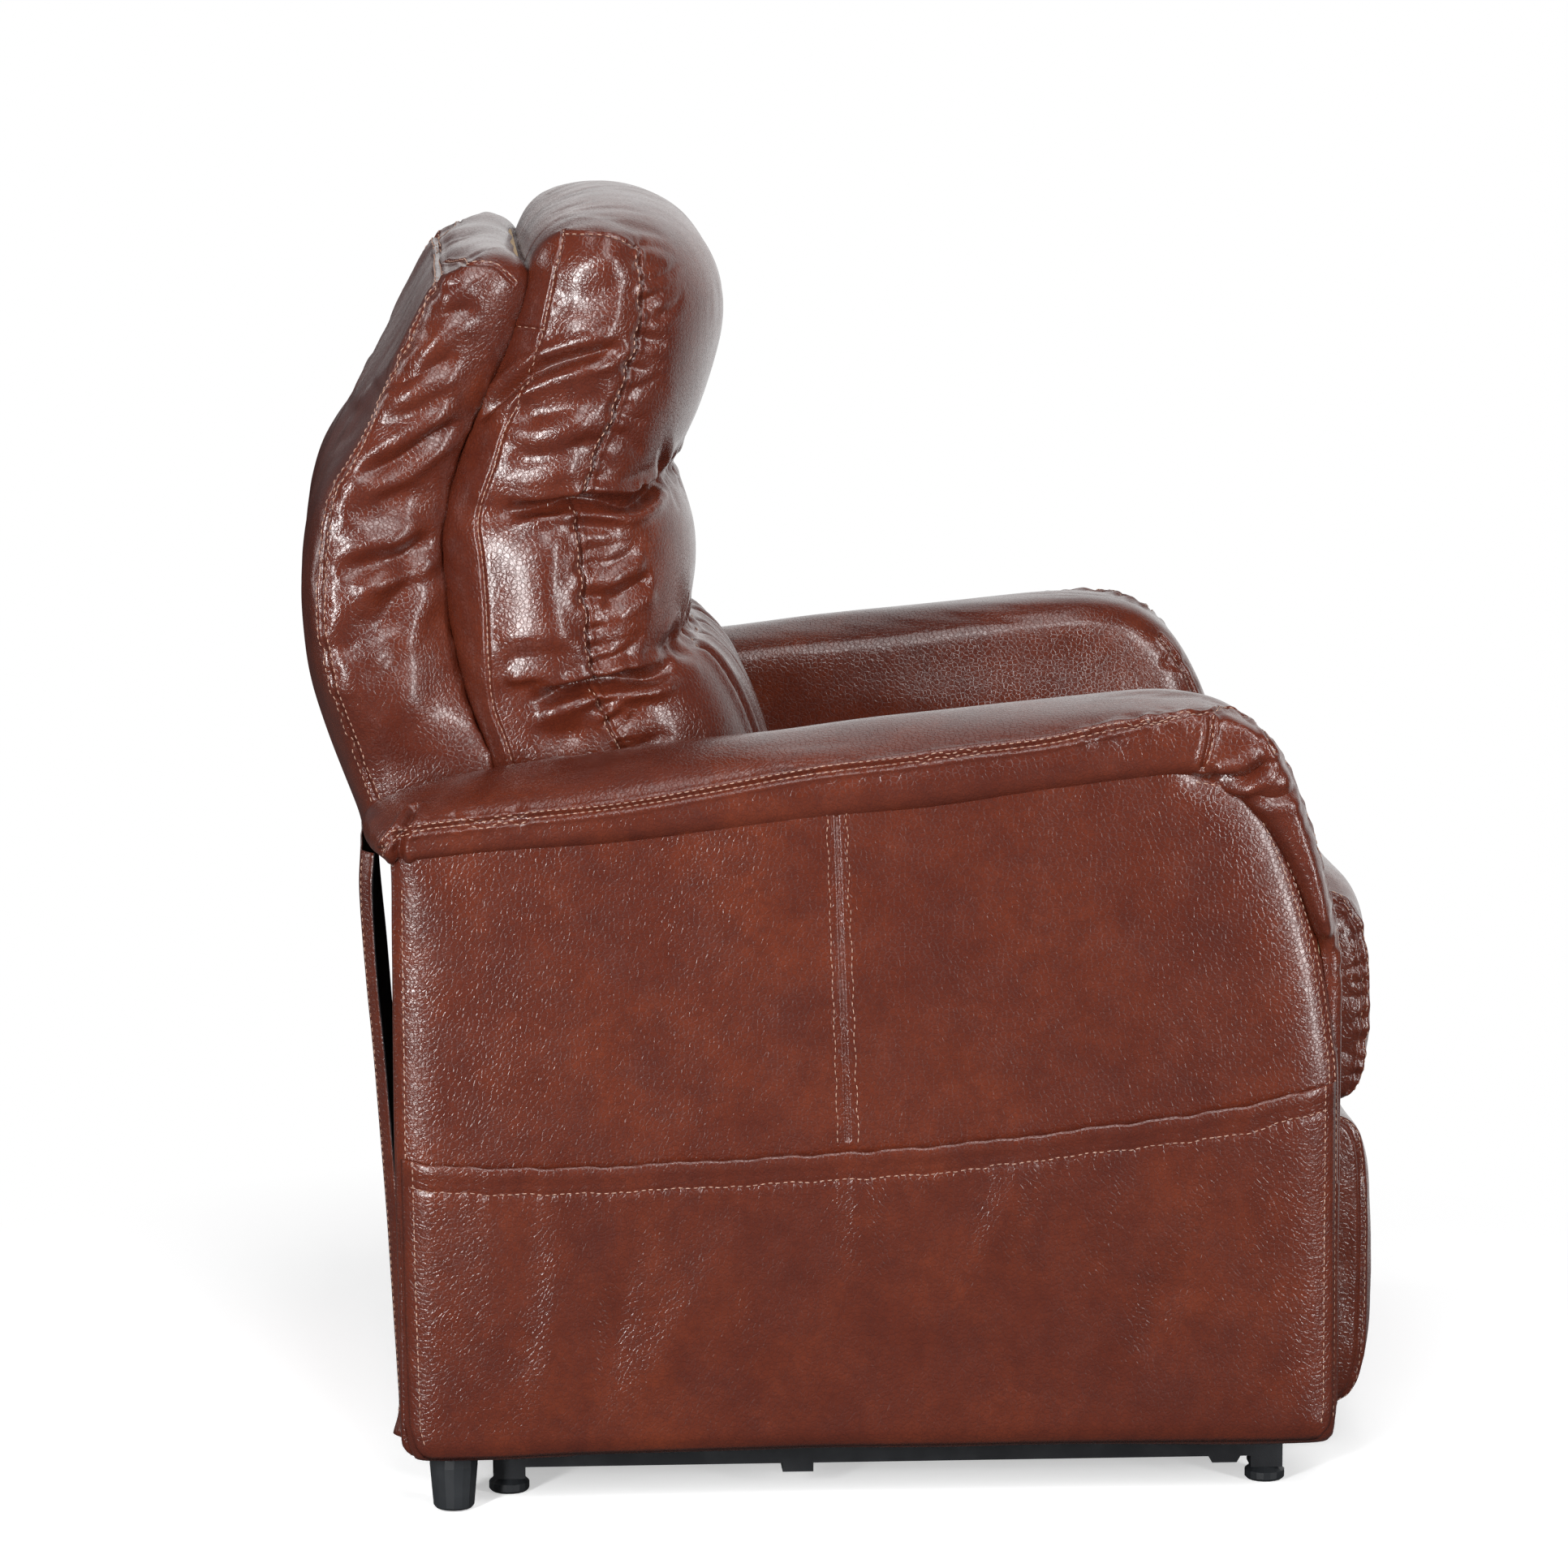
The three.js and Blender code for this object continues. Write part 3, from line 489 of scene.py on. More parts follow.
def apply_modifier(item, kind, **settings):
    choose(item)
    modifier = item.modifiers.new(kind.title(), kind)
    for key, value in settings.items():
        setattr(modifier, key, value)
    bpy.ops.object.modifier_apply(modifier=modifier.name)


def skin(name, bodies, voxel, rounds=6):
    """One even mesh around bodies that run into each other"""
    choose(*bodies)
    if len(bodies) > 1:
        bpy.ops.object.join()
    item = bpy.context.view_layer.objects.active
    item.name = item.data.name = name
    apply_modifier(item, "REMESH", mode="VOXEL", voxel_size=voxel)
    apply_modifier(item, "SMOOTH", factor=0.5, iterations=rounds)
    return item


def inflate(item, pinned, pressure, swell, slack):
    """Fills a cover: cloth under pressure, held at the pinned points, with its furthest move capped"""
    frames = 20
    scene = bpy.context.scene
    scene.frame_set(1)
    before = points_of(item)
    group = item.vertex_groups.new(name="held")
    for level in range(1, 11):
        chosen = np.nonzero(np.round(pinned * 10) == level)[0]
        if len(chosen):
            group.add([int(i) for i in chosen], level / 10, "REPLACE")
    choose(item)
    modifier = item.modifiers.new("Filling", "CLOTH")
    cover = modifier.settings
    cover.quality = 6
    cover.mass = 0.4
    cover.tension_stiffness = cover.compression_stiffness = 25.0
    cover.shear_stiffness = 12.0
    cover.bending_stiffness = 0.6
    cover.use_pressure = True
    cover.uniform_pressure_force = pressure
    cover.effector_weights.gravity = 0.0
    cover.vertex_group_mass = "held"
    cover.pin_stiffness = 1.0
    cover.shrink_min = -slack
    modifier.collision_settings.use_collision = False
    modifier.point_cache.frame_start = 1
    modifier.point_cache.frame_end = frames
    for frame_number in range(1, frames + 1):
        scene.frame_set(frame_number)
    bpy.ops.object.modifier_apply(modifier=modifier.name)
    item.vertex_groups.clear()
    moved = points_of(item) - before
    length = np.linalg.norm(moved, axis=1)
    share = np.minimum(1.0, swell / np.maximum(length, 1e-9))
    set_points(item, before + moved * share[:, None])
    scene.frame_set(1)


def valleys(item, voxel):
    """How much each point lies in a fold, 0 to 1"""
    points, normals = points_of(item), normals_of(item)
    edges = np.empty(len(item.data.edges) * 2, int)
    item.data.edges.foreach_get("vertices", edges)
    edges = edges.reshape(-1, 2)
    total, number = np.zeros_like(points), np.zeros(len(points))
    for a, b in ((0, 1), (1, 0)):
        np.add.at(total, edges[:, a], points[edges[:, b]])
        np.add.at(number, edges[:, a], 1)
    lift = np.sum((total / number[:, None] - points) * normals, axis=1)
    return np.clip(lift / (0.12 * voxel), 0, 1)


class Line:
    """A seam, crease or gather on a cover: a groove with a swelling on either side"""

    def __init__(self, points, depth, width, ridge=0.35, taper=0.0, sharp=2.0):
        self.points = np.array(points, float)
        self.depth = depth
        self.width = width
        self.ridge = ridge
        self.taper = taper
        self.sharp = sharp


def near_line(points, line):
    """Distance of each point to a polyline and its place along it, 0 to 1"""
    best = np.full(len(points), 1e9)
    place = np.zeros(len(points))
    steps = np.linalg.norm(np.diff(line, axis=0), axis=1)
    total = steps.sum() + 1e-12
    gone = 0.0
    for a, b, length in zip(line[:-1], line[1:], steps):
        d = b - a
        t = np.clip((points - a) @ d / max(length**2, 1e-12), 0, 1)
        away = np.linalg.norm(points - a - t[:, None] * d, axis=1)
        closer = away < best
        best[closer] = away[closer]
        place[closer] = ((gone + t * length) / total)[closer]
        gone += length
    return best, place


def close_to(points, line, reach):
    """Indices of the points in the box around a polyline"""
    low, high = line.min(0) - reach, line.max(0) + reach
    return np.nonzero(np.all((points > low) & (points < high), axis=1))[0]


def refine(item, lines, reach, rounds):
    """Finer mesh beside the fine lines of a cover"""
    for _ in range(rounds):
        points = points_of(item)
        fine = np.zeros(len(points), bool)
        for line in lines:
            if line.width > WIDEST_FINE_LINE:
                continue
            near = close_to(points, line.points, reach)
            if len(near):
                away, _ = near_line(points[near], line.points)
                fine[near[away < reach]] = True

        def split(shape, fine=fine):
            edges = [edge for edge in shape.edges if all(fine[vert.index] for vert in edge.verts)]
            bmesh.ops.subdivide_edges(shape, edges=edges, cuts=1, use_grid_fill=True)

        edit_mesh(item.data, split)
        reach *= 0.55


def carve(item, lines, rounds=1):
    """Presses grooves into a cover along its own normals, on a mesh that is finer beside them"""
    refine(item, lines, 0.009, rounds)
    points, normals = points_of(item), normals_of(item)
    push = np.zeros(len(points))
    for line in lines:
        near = close_to(points, line.points, 4.5 * line.width)
        if not len(near):
            continue
        away, place = near_line(points[near], line.points)
        fade = np.ones(len(near))
        if line.taper > 0:
            fade = eased(np.minimum(place, 1 - place), 0, line.taper)
        if line.taper < 0:
            fade = np.clip(1 - place, 0, 1) ** 0.7
        r = away / line.width
        shape = np.exp(-(r**line.sharp)) - line.ridge * np.exp(-((r - 2.1) ** 2) / 1.2)
        push[near] -= line.depth * fade * shape
    set_points(item, points + normals * (DEEPEST * np.tanh(push / DEEPEST))[:, None])


def ripple(item, size, height, seed):
    """Soft unevenness over a whole cover"""
    points, normals = points_of(item), normals_of(item)
    draw = np.random.default_rng(seed)
    total = np.zeros(len(points))
    for _ in range(14):
        wave = draw.normal(size=3)
        wave *= 2 * math.pi / (size * draw.uniform(0.7, 1.5)) / np.linalg.norm(wave)
        total += np.sin(points @ wave + draw.uniform(0, 6.28))
    total *= height / 3.7
    set_points(item, points + normals * total[:, None])


def tree_of(item):
    verts = [tuple(p) for p in points_of(item)]
    return BVHTree.FromPolygons(verts, [tuple(f.vertices) for f in item.data.polygons])


def hits(tree, starts, way):
    """Where rays from the given places first meet a cover"""
    found = [tree.ray_cast(Vector(start), Vector(way))[0] for start in starts]
    return np.array([tuple(place) for place in found if place is not None])


def on_side(tree, side, line, count):
    """Points of the cover seen straight from the right (-1) or left (1) at [y, z] in millimetres"""
    path = smooth_line(line, count) * MM
    places = hits(tree, [(side * OUTSIDE, y, z) for y, z in path], (-side, 0, 0))
    return places[places[:, 0] * side > 0.1]


def on_cover(tree, points):
    return np.array([tuple(tree.find_nearest(Vector(p))[0]) for p in points])


def along(path, pitch):
    """Even points along a path, with their directions"""
    gone = lengths_along(path)
    at = np.linspace(0, gone[-1], max(2, int(gone[-1] / pitch)))
    points = np.stack([np.interp(at, gone, path[:, k]) for k in range(3)], 1)
    return points, np.gradient(points, axis=0)


def offset_path(tree, path, away):
    """The path moved sideways over the cover"""
    points, ways = along(path, 0.006)
    out = []
    for p, way in zip(points, ways):
        normal = tree.find_nearest(Vector(p))[1]
        out.append(p + np.array(normal.cross(Vector(way).normalized())) * away)
    return on_cover(tree, out)


def gathers(tree, path, reach, depth, seed, forward, spread, pitch, width, skip):
    """Short puckers that run away from a seam: their reach, depth, lean, distance, width and share left out"""
    draw = np.random.default_rng(seed)
    points, ways = along(path, pitch)
    lines = []
    for p, way in zip(points, ways):
        if draw.uniform() < skip:
            continue
        normal = Vector(tree.find_nearest(Vector(p))[1])
        across = np.array(normal.cross(Vector(way).normalized())) * forward
        way = way / (np.linalg.norm(way) + 1e-12)
        start = p + way * draw.uniform(-0.4, 0.4) * pitch
        length = reach * draw.uniform(0.3, 1.0) ** 1.3
        lean = draw.normal() * spread
        ends = [start + (across * t + way * lean * t * t) * length for t in (0.0, 0.35, 0.7, 1.0)]
        bent = on_cover(tree, ends)
        wide = width * draw.uniform(0.8, 1.8)
        lines.append(Line(bent, depth * draw.uniform(0.4, 1.0) * wide / width, wide, 0.4, -1, 1.7))
    return lines


# ---------------------------------------------------------------- sewing

STITCH = ((-1.0, 0.0, -0.9), (-0.72, 0.75, 0.1), (0.0, 1.0, 0.45), (0.72, 0.75, 0.1), (1.0, 0.0, -0.9))


class Sewing:
    """Collects the stitches of one cover into one mesh"""

    def __init__(self, name, cover):
        self.name = name
        self.tree = tree_of(cover)
        self.verts = []
        self.faces = []

    def row(self, path, away=0.0):
        """A row of stitches along a path, or beside it"""
        settings = bpy.context.scene.recliner_cushions
        path = on_cover(self.tree, path)
        if away:
            path = offset_path(self.tree, path, away)
        for point, way in zip(*along(path, settings.stitch)):
            place, normal, _, _ = self.tree.find_nearest(Vector(point))
            if place is not None and np.linalg.norm(way) > 1e-9:
                self.stitch(place, normal, Vector(way).normalized(), 0.5 * settings.thread, 0.36 * settings.stitch)

    def stitch(self, place, normal, way, radius, half):
        """A bar of thread that dips into the cover at both ends"""
        side = normal.cross(way).normalized()
        base = len(self.verts)
        for ahead, thick, up in STITCH:
            centre = place + way * half * ahead + normal * radius * (up + 0.1)
            for k in range(4):
                angle = math.pi * (0.25 + 0.5 * k)
                out = (side * math.cos(angle) + normal * math.sin(angle)) * radius * max(thick, 0.15)
                self.verts.append(centre + out)
        for start in range(base, base + 16, 4):
            for k in range(4):
                a, b = start + k, start + (k + 1) % 4
                self.faces.append((a, b, b + 4, a + 4))
        self.faces.append(tuple(base + k for k in (3, 2, 1, 0)))
        self.faces.append(tuple(base + 16 + k for k in range(4)))

    def twin(self, path, gap=0.0045):
        """Two rows, one on either side of a seam"""
        for side in (-1, 1):
            self.row(path, side * gap)

    def done(self, body):
        item = link(self.name, mesh_of(self.name, self.verts, self.faces))
        item.data.materials.append(finish_of("thread"))
        smooth_faces(item)
        if body:
            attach(item, body)
        return item


# ---------------------------------------------------------------- covers


def smooth_faces(item):
    item.data.polygons.foreach_set("use_smooth", [True] * len(item.data.polygons))
    item.data.update()


def dress(item, look, body, nodes):
    """Gives a finished cover its material, its body and the frame nodes that it stands for"""
    item.data.materials.clear()
    item.data.materials.append(finish_of(look))
    smooth_faces(item)
    if body:
        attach(item, body)
    if nodes:
        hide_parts(*nodes)


def mirrored(item, name):
    """The same cover for the other side of the chair"""
    copy = link(name, item.data.copy())
    copy.data.name = name
    points = points_of(copy)
    points[:, 0] *= -1
    set_points(copy, points)
    edit_mesh(copy.data, lambda shape: bmesh.ops.reverse_faces(shape, faces=shape.faces))
    return copy


def pair(item, stem):
    """Name, side and cover of the right piece and of its mirror image"""
    covers = (item, mirrored(item, f"{stem}_left"))
    return [(name, side, cover) for (name, side), cover in zip(SIDES, covers)]


def layers(name, outline, levels, share=1.0):
    """Closed body on the right: its levels are (distance from the middle plane, how far drawn in)"""
    return loft(name, [(-x, drawn_in(outline, inset, share)) for x, inset in levels])


def hold_seams(held, item, lines, count, sides=(-1, 1), width=0.006):
    """Adds the points beside the seams to those that the filling doesn't move"""
    points, tree = points_of(item), tree_of(item)
    for side in sides:
        for line in lines:
            away, _ = near_line(points, on_side(tree, side, line, count))
            held = np.maximum(held, np.clip(1.4 - away / width, 0, 1))
    return held


def filled(item, held, pressure, swell, slack=0.0, rounds=3):
    """Fills a cover, evens it out and halves its mesh; gives the new surface for casting rays"""
    inflate(item, held, pressure, swell, slack)
    if rounds:
        apply_modifier(item, "SMOOTH", factor=0.5, iterations=rounds)
    apply_modifier(item, "SUBSURF", levels=1, render_levels=1)
    return tree_of(item)


def seams_of(tree, side, table):
    """Seams of one side and their grooves, from {name: (line, points, depth, width, ridge)}"""
    paths, lines = {}, []
    for name, (line, count, *groove) in table.items():
        paths[name] = on_side(tree, side, line, count)
        lines.append(Line(paths[name], *groove))
    return paths, lines


def creases_of(tree, side, table, *shape):
    """Folds of one side from (line, depth, width), all with the same ridge, taper and sharpness"""
    return [Line(on_side(tree, side, line, 26), depth, width, *shape) for line, depth, width in table]


def gathers_of(tree, side, paths, table):
    """Gathers of one side from (seam, direction, seed, reach, depth, lean, distance, width, share left out)"""
    lines = []
    for name, way, seed, reach, depth, *rest in table:
        lines += gathers(tree, paths[name], reach, depth, seed + side, way * side, *rest)
    return lines


# ---------------------------------------------------------------- back cushion

HEAD_SIDE = (
    [(320, 832), (312, 870), (292, 930), (271, 995), (256, 1034)],
    [(256, 1034), (246, 1048), (228, 1054), (200, 1051), (179, 1041), (169, 1016), (170, 988), (176, 958), (185, 929),
     (197, 896), (208, 866), (214, 840)],
    [(214, 840), (222, 830), (262, 827), (320, 832)],
)
HEAD_MIDDLE = (
    [(315, 840), (299, 930), (277, 995), (264, 1030)],
    [(264, 1030), (253, 1050), (235, 1064), (211, 1072), (189, 1075), (161, 1072), (133, 1059), (108, 1036),
     (92, 1006), (90, 983), (100, 938), (116, 890), (128, 862), (142, 848)],
    [(142, 848), (200, 836), (315, 840)],
)
MIDDLE_SIDE = (
    [(316, 672), (334, 754), (338, 795), (328, 826)],
    [(328, 826), (270, 830), (228, 826)],
    [(228, 826), (222, 800), (216, 750), (211, 710), (214, 684)],
    [(214, 684), (262, 672), (316, 672)],
)
MIDDLE_MIDDLE = (
    [(313, 694), (324, 770), (316, 843)],
    [(316, 843), (200, 836), (146, 842)],
    [(146, 842), (128, 830), (120, 803), (117, 777), (119, 745), (125, 716), (136, 700)],
    [(136, 700), (200, 696), (313, 694)],
)
LOW_SIDE = (
    [(232, 372), (262, 470), (285, 560), (297, 612), (308, 650), (316, 676)],
    [(316, 676), (262, 676), (208, 682)],
    [(208, 682), (198, 650), (184, 615), (155, 560), (132, 500), (120, 440), (118, 384)],
    [(118, 384), (180, 368), (232, 372)],
)
LOW_MIDDLE = (
    [(232, 372), (262, 470), (288, 590), (310, 690)],
    [(310, 690), (200, 692), (130, 702)],
    [(130, 702), (106, 698), (91, 680), (75, 650), (63, 612), (55, 565), (51, 510), (52, 450), (58, 400), (72, 378)],
    [(72, 378), (100, 370), (232, 372)],
)
SPINE_STRIP = (
    [(236, 374), (262, 470), (296, 612), (315, 666), (331, 733), (338, 795), (320, 873), (278, 980), (257, 1039)],
    [(257, 1039), (246, 1048), (238, 1036)],
    [(238, 1036), (250, 985), (270, 920), (291, 863), (302, 816), (296, 728), (290, 677), (277, 615), (256, 540),
     (222, 400)],
    [(222, 400), (224, 384), (236, 374)],
)
REAR_STITCH = [
    (232, 1056), (240, 1022), (247, 990), (254, 960), (268, 921), (282, 893), (292, 861), (302, 832), (305, 812),
    (302, 788), (299, 749), (297, 697), (293, 660), (283, 632), (274, 600),
]
FRONT_WELT = [
    (172, 1042), (169, 1020), (170, 990), (173, 962), (183, 932), (192, 904), (204, 879), (215, 849), (224, 834),
    (223, 815), (219, 785), (216, 750), (214, 717), (211, 690), (208, 670), (198, 650), (186, 624), (166, 590),
]
HEAD_TOP_STITCH = [(230, 1054), (204, 1054), (188, 1050), (173, 1042)]
HEAD_DART = [(279, 977), (265, 977), (251, 976)]
SIDE_CREASES = (
    ([(291, 823), (270, 826), (248, 829), (226, 833), (200, 831), (174, 828), (150, 842)], 0.0125, 0.0054),
    ([(266, 661), (246, 670), (224, 677), (199, 680), (176, 681), (159, 682), (140, 690)], 0.0135, 0.0058),
    ([(306, 894), (290, 915), (268, 934), (248, 945), (221, 954), (181, 963)], 0.0095, 0.0054),
    ([(276, 902), (250, 908), (222, 915), (196, 926)], 0.0048, 0.0105),
    ([(284, 868), (262, 871), (236, 875), (205, 887)], 0.0052, 0.0105),
    ([(246, 996), (228, 1000), (204, 1008), (178, 1018)], 0.0026, 0.0110),
    ([(158, 768), (172, 760), (188, 752), (204, 742)], 0.0050, 0.0070),
    ([(290, 700), (264, 706), (240, 707), (222, 706)], 0.0028, 0.0080),
    ([(262, 640), (240, 636), (214, 640)], 0.0036, 0.0090),
)
CREASE_RIDGE = [(290, 683), (264, 688), (228, 691)]
LOW_CHANNELS = (-0.165, -0.085, 0.0, 0.085, 0.165)
CHANNEL = [(128, 700), (104, 694), (75, 650), (62, 612), (54, 565), (51, 510), (52, 450)]
PILLOWS = (  # name, outline in the middle and at the side, half width, crown, points on each part of the outline
    ("head", HEAD_MIDDLE, HEAD_SIDE, 0.268, 3.0, (24, 70, 24)),
    ("waist", MIDDLE_MIDDLE, MIDDLE_SIDE, 0.267, 4.0, (24, 24, 60, 24)),
    ("lumbar", LOW_MIDDLE, LOW_SIDE, 0.256, 5.0, (24, 24, 60, 24)),
)
CUSHION_SEAMS = {
    "stitch": (REAR_STITCH, 120, 0.0011, 0.0016, 0.3),
    "welt": (FRONT_WELT, 120, 0.0022, 0.0020, 0.35),
    "top": (HEAD_TOP_STITCH, 16, 0.0012, 0.0016, 0.3),
    "dart": (HEAD_DART, 8, 0.0010, 0.0014, 0.2),
}
CUSHION_GATHERS = (
    ("upper", -1, 11, 0.060, 0.0030, 0.3, 0.0125, 0.0038, 0.1),
    ("upper", -1, 15, 0.020, 0.0010, 0.4, 0.0085, 0.0022, 0.3),
    ("upper", 1, 21, 0.018, 0.0007, 0.3, 0.0150, 0.0030, 0.35),
    ("stitch", -1, 31, 0.026, 0.0008, 0.5, 0.0280, 0.0050, 0.4),
    ("top", 1, 36, 0.026, 0.0014, 0.4, 0.0150, 0.0040, 0.15),
)


def belly(item, rear, front, height, necks):
    """Rounds the side strip between two seams, less at the creases"""
    points = points_of(item)
    x, y, z = points.T
    rear_seam, front_seam = (np.array(seam[::-1], float) * MM for seam in (rear, front))
    y0 = np.interp(z, rear_seam[:, 1], rear_seam[:, 0])
    y1 = np.interp(z, front_seam[:, 1], front_seam[:, 0])
    place = rise(y, y1, y0 - y1)
    crest = 0.36
    swell = 1 - rise(place, crest, -crest) ** 2.2 - rise(place, crest, 1 - crest) ** 1.25
    for neck in necks:
        swell *= 1 - np.exp(-(((z - neck) / 0.022) ** 2))
    swell *= rise(np.abs(x), 0.235, 0.03) * rise(z, 0.64, 0.05)
    away = rise(y, y0 + 0.002, 0.034) ** 1.2 * rise(z, 0.57, 0.06)
    points[:, 0] += np.sign(x) * (swell * height - 0.024 * away * (np.abs(x) > 0.2))
    set_points(item, points)


class RECLINER_OT_back_cushion(bpy.types.Operator):
    """Back cushion of three stacked pillows in one cover"""

    bl_idname = "recliner.back_cushion"
    bl_label = "Back cushion"

    def execute(self, context):
        settings = context.scene.recliner_cushions
        bodies = []
        for name, middle, side, half, power, counts in PILLOWS:
            bodies.append(crowned(name, ring(middle, counts), ring(side, counts), half, power))
        strip = ring(SPINE_STRIP, (80, 8, 80, 8))
        bodies.append(crowned("strip", strip, strip, 0.264, 4.0, ((0.004, 0.004), (0.006, 0.010))))
        item = skin("back_cushion", bodies, settings.voxel, 8)
        belly(item, REAR_STITCH, FRONT_WELT, 0.013, (0.829, 0.675))
        points = points_of(item)
        rear = np.interp(points[:, 2], [0.37, 0.69, 0.8, 1.04], [0.22, 0.296, 0.312, 0.24])
        held = np.maximum(rise(points[:, 1], rear, 0.012), valleys(item, settings.voxel))
        held = hold_seams(held, item, (REAR_STITCH, FRONT_WELT, *(line for line, _, _ in SIDE_CREASES[:3])), 120)
        low = points[:, 2] < 0.60
        held[low] = np.maximum(held[low], rise(np.abs(points[low, 0]), 0.250, 0.012))
        tree = filled(item, held, settings.pressure, settings.swell, 0.004)
        self.sew(item, tree)
        dress(item, "hide", "back", ["pillow_head", "pillow_middle", "pillow_low"])
        return {"FINISHED"}

    def sew(self, item, tree):
        lines = []
        rows = []
        for _, side in SIDES:
            paths, grooves = seams_of(tree, side, CUSHION_SEAMS)
            rows += [(paths[name], side * 0.0055 if name == "welt" else 0.0) for name in CUSHION_SEAMS]
            lines += grooves + creases_of(tree, side, SIDE_CREASES, 0.55, 0.22, 1.35)
            lines.append(Line(on_side(tree, side, CREASE_RIDGE, 16), -0.0030, 0.0065, 0.0, 0.3))
            paths["upper"] = paths["welt"][paths["welt"][:, 2] > 0.60]
            lines += gathers_of(tree, side, paths, CUSHION_GATHERS)
        for x in LOW_CHANNELS:
            channel = hits(tree, [(x, y - 0.3, z) for y, z in smooth_line(CHANNEL, 60) * MM], (0, 1, 0))
            lines.append(Line(channel, 0.006, 0.007, 0.5, 0.05))
            rows.append((channel, 0.0))
        for height, seed in ((0.846, 3), (0.700, 4)):
            crease = self.front_crease(tree, height)
            for way in (-1, 1):
                lines += gathers(tree, crease, 0.040, 0.0034, 90 + seed + way, way, 0.4, 0.020, 0.0045, 0.25)
        carve(item, lines, 2)
        sewing = Sewing("back_cushion_stitches", item)
        for path, away in rows:
            sewing.row(path, away)
        sewing.done("back")

    def front_crease(self, tree, height):
        """The crease between two pillows across the front"""
        path = []
        for x in np.linspace(-0.225, 0.225, 60):
            heights = np.linspace(height - 0.02, height + 0.02, 17)
            places = hits(tree, [(x, -0.3, z) for z in heights], (0, 1, 0))
            path.append(places[np.argmax(places[:, 1])])
        return np.array(path)


# ---------------------------------------------------------------- back cover

COVER_SIDE = (
    [(380, 545), (392, 584), (411, 638), (425, 681), (434, 731), (434, 783), (424, 840), (402, 880), (364, 958),
     (337, 1016)],
    [(337, 1016), (330, 1026), (310, 1032), (286, 1033), (262, 1026)],
    [(262, 1026), (258, 1008), (270, 972), (292, 925), (314, 873), (328, 826), (331, 795), (325, 733), (309, 666),
     (290, 612), (276, 560)],
    [(276, 560), (300, 546), (380, 545)],
)
COVER_MIDDLE = (
    [(405, 533), (408, 556), (418, 590), (432, 634), (446, 682), (453, 735), (455, 772), (441, 826), (421, 864),
     (396, 899), (370, 939), (343, 986), (327, 1013)],
    [(327, 1013), (314, 1031), (300, 1043), (284, 1047), (266, 1038)],
    [(266, 1038), (258, 1024), (276, 975), (316, 900), (332, 837), (344, 795), (339, 754), (332, 700), (320, 666),
     (303, 612), (292, 560)],
    [(292, 560), (340, 536), (405, 533)],
)
COVER_SEAM = [
    (335, 1019), (364, 958), (402, 880), (424, 840), (434, 783), (434, 731), (425, 681), (411, 638), (392, 584),
]
COVER_TOP_SEAM = [(332, 1022), (312, 1029), (290, 1028), (274, 1014)]
COVER_FOLDS = (
    ([(411, 853), (396, 858), (370, 869), (342, 887), (314, 902)], 0.0078, 0.0070),
    ([(377, 930), (362, 936), (340, 946), (316, 958)], 0.0050, 0.0075),
    ([(422, 770), (410, 777), (388, 783), (362, 790), (338, 808)], 0.0100, 0.0080),
    ([(392, 706), (382, 735), (368, 760), (345, 788)], 0.0058, 0.0120),
    ([(418, 700), (404, 728), (392, 748)], 0.0040, 0.0110),
    ([(394, 895), (382, 901), (354, 912), (326, 932)], 0.0036, 0.0090),
    ([(349, 980), (342, 985), (322, 992), (300, 994)], 0.0036, 0.0075),
    ([(417, 819), (406, 824), (384, 832), (360, 846)], 0.0040, 0.0100),
    ([(346, 1006), (330, 1012), (312, 1014)], 0.0022, 0.0060),
    ([(396, 650), (384, 690), (366, 716)], 0.0026, 0.0140),
)
COVER_SEAMS = {"seam": (COVER_SEAM, 100, 0.0012, 0.0018, 0.4), "over": (COVER_TOP_SEAM, 20, 0.0012, 0.0018, 0.4)}
COVER_GATHERS = (
    ("seam", -1, 41, 0.030, 0.0008, 0.5, 0.018, 0.0040, 0.3),
    ("seam", 1, 45, 0.010, 0.0003, 0.4, 0.015, 0.0028, 0.3),
)


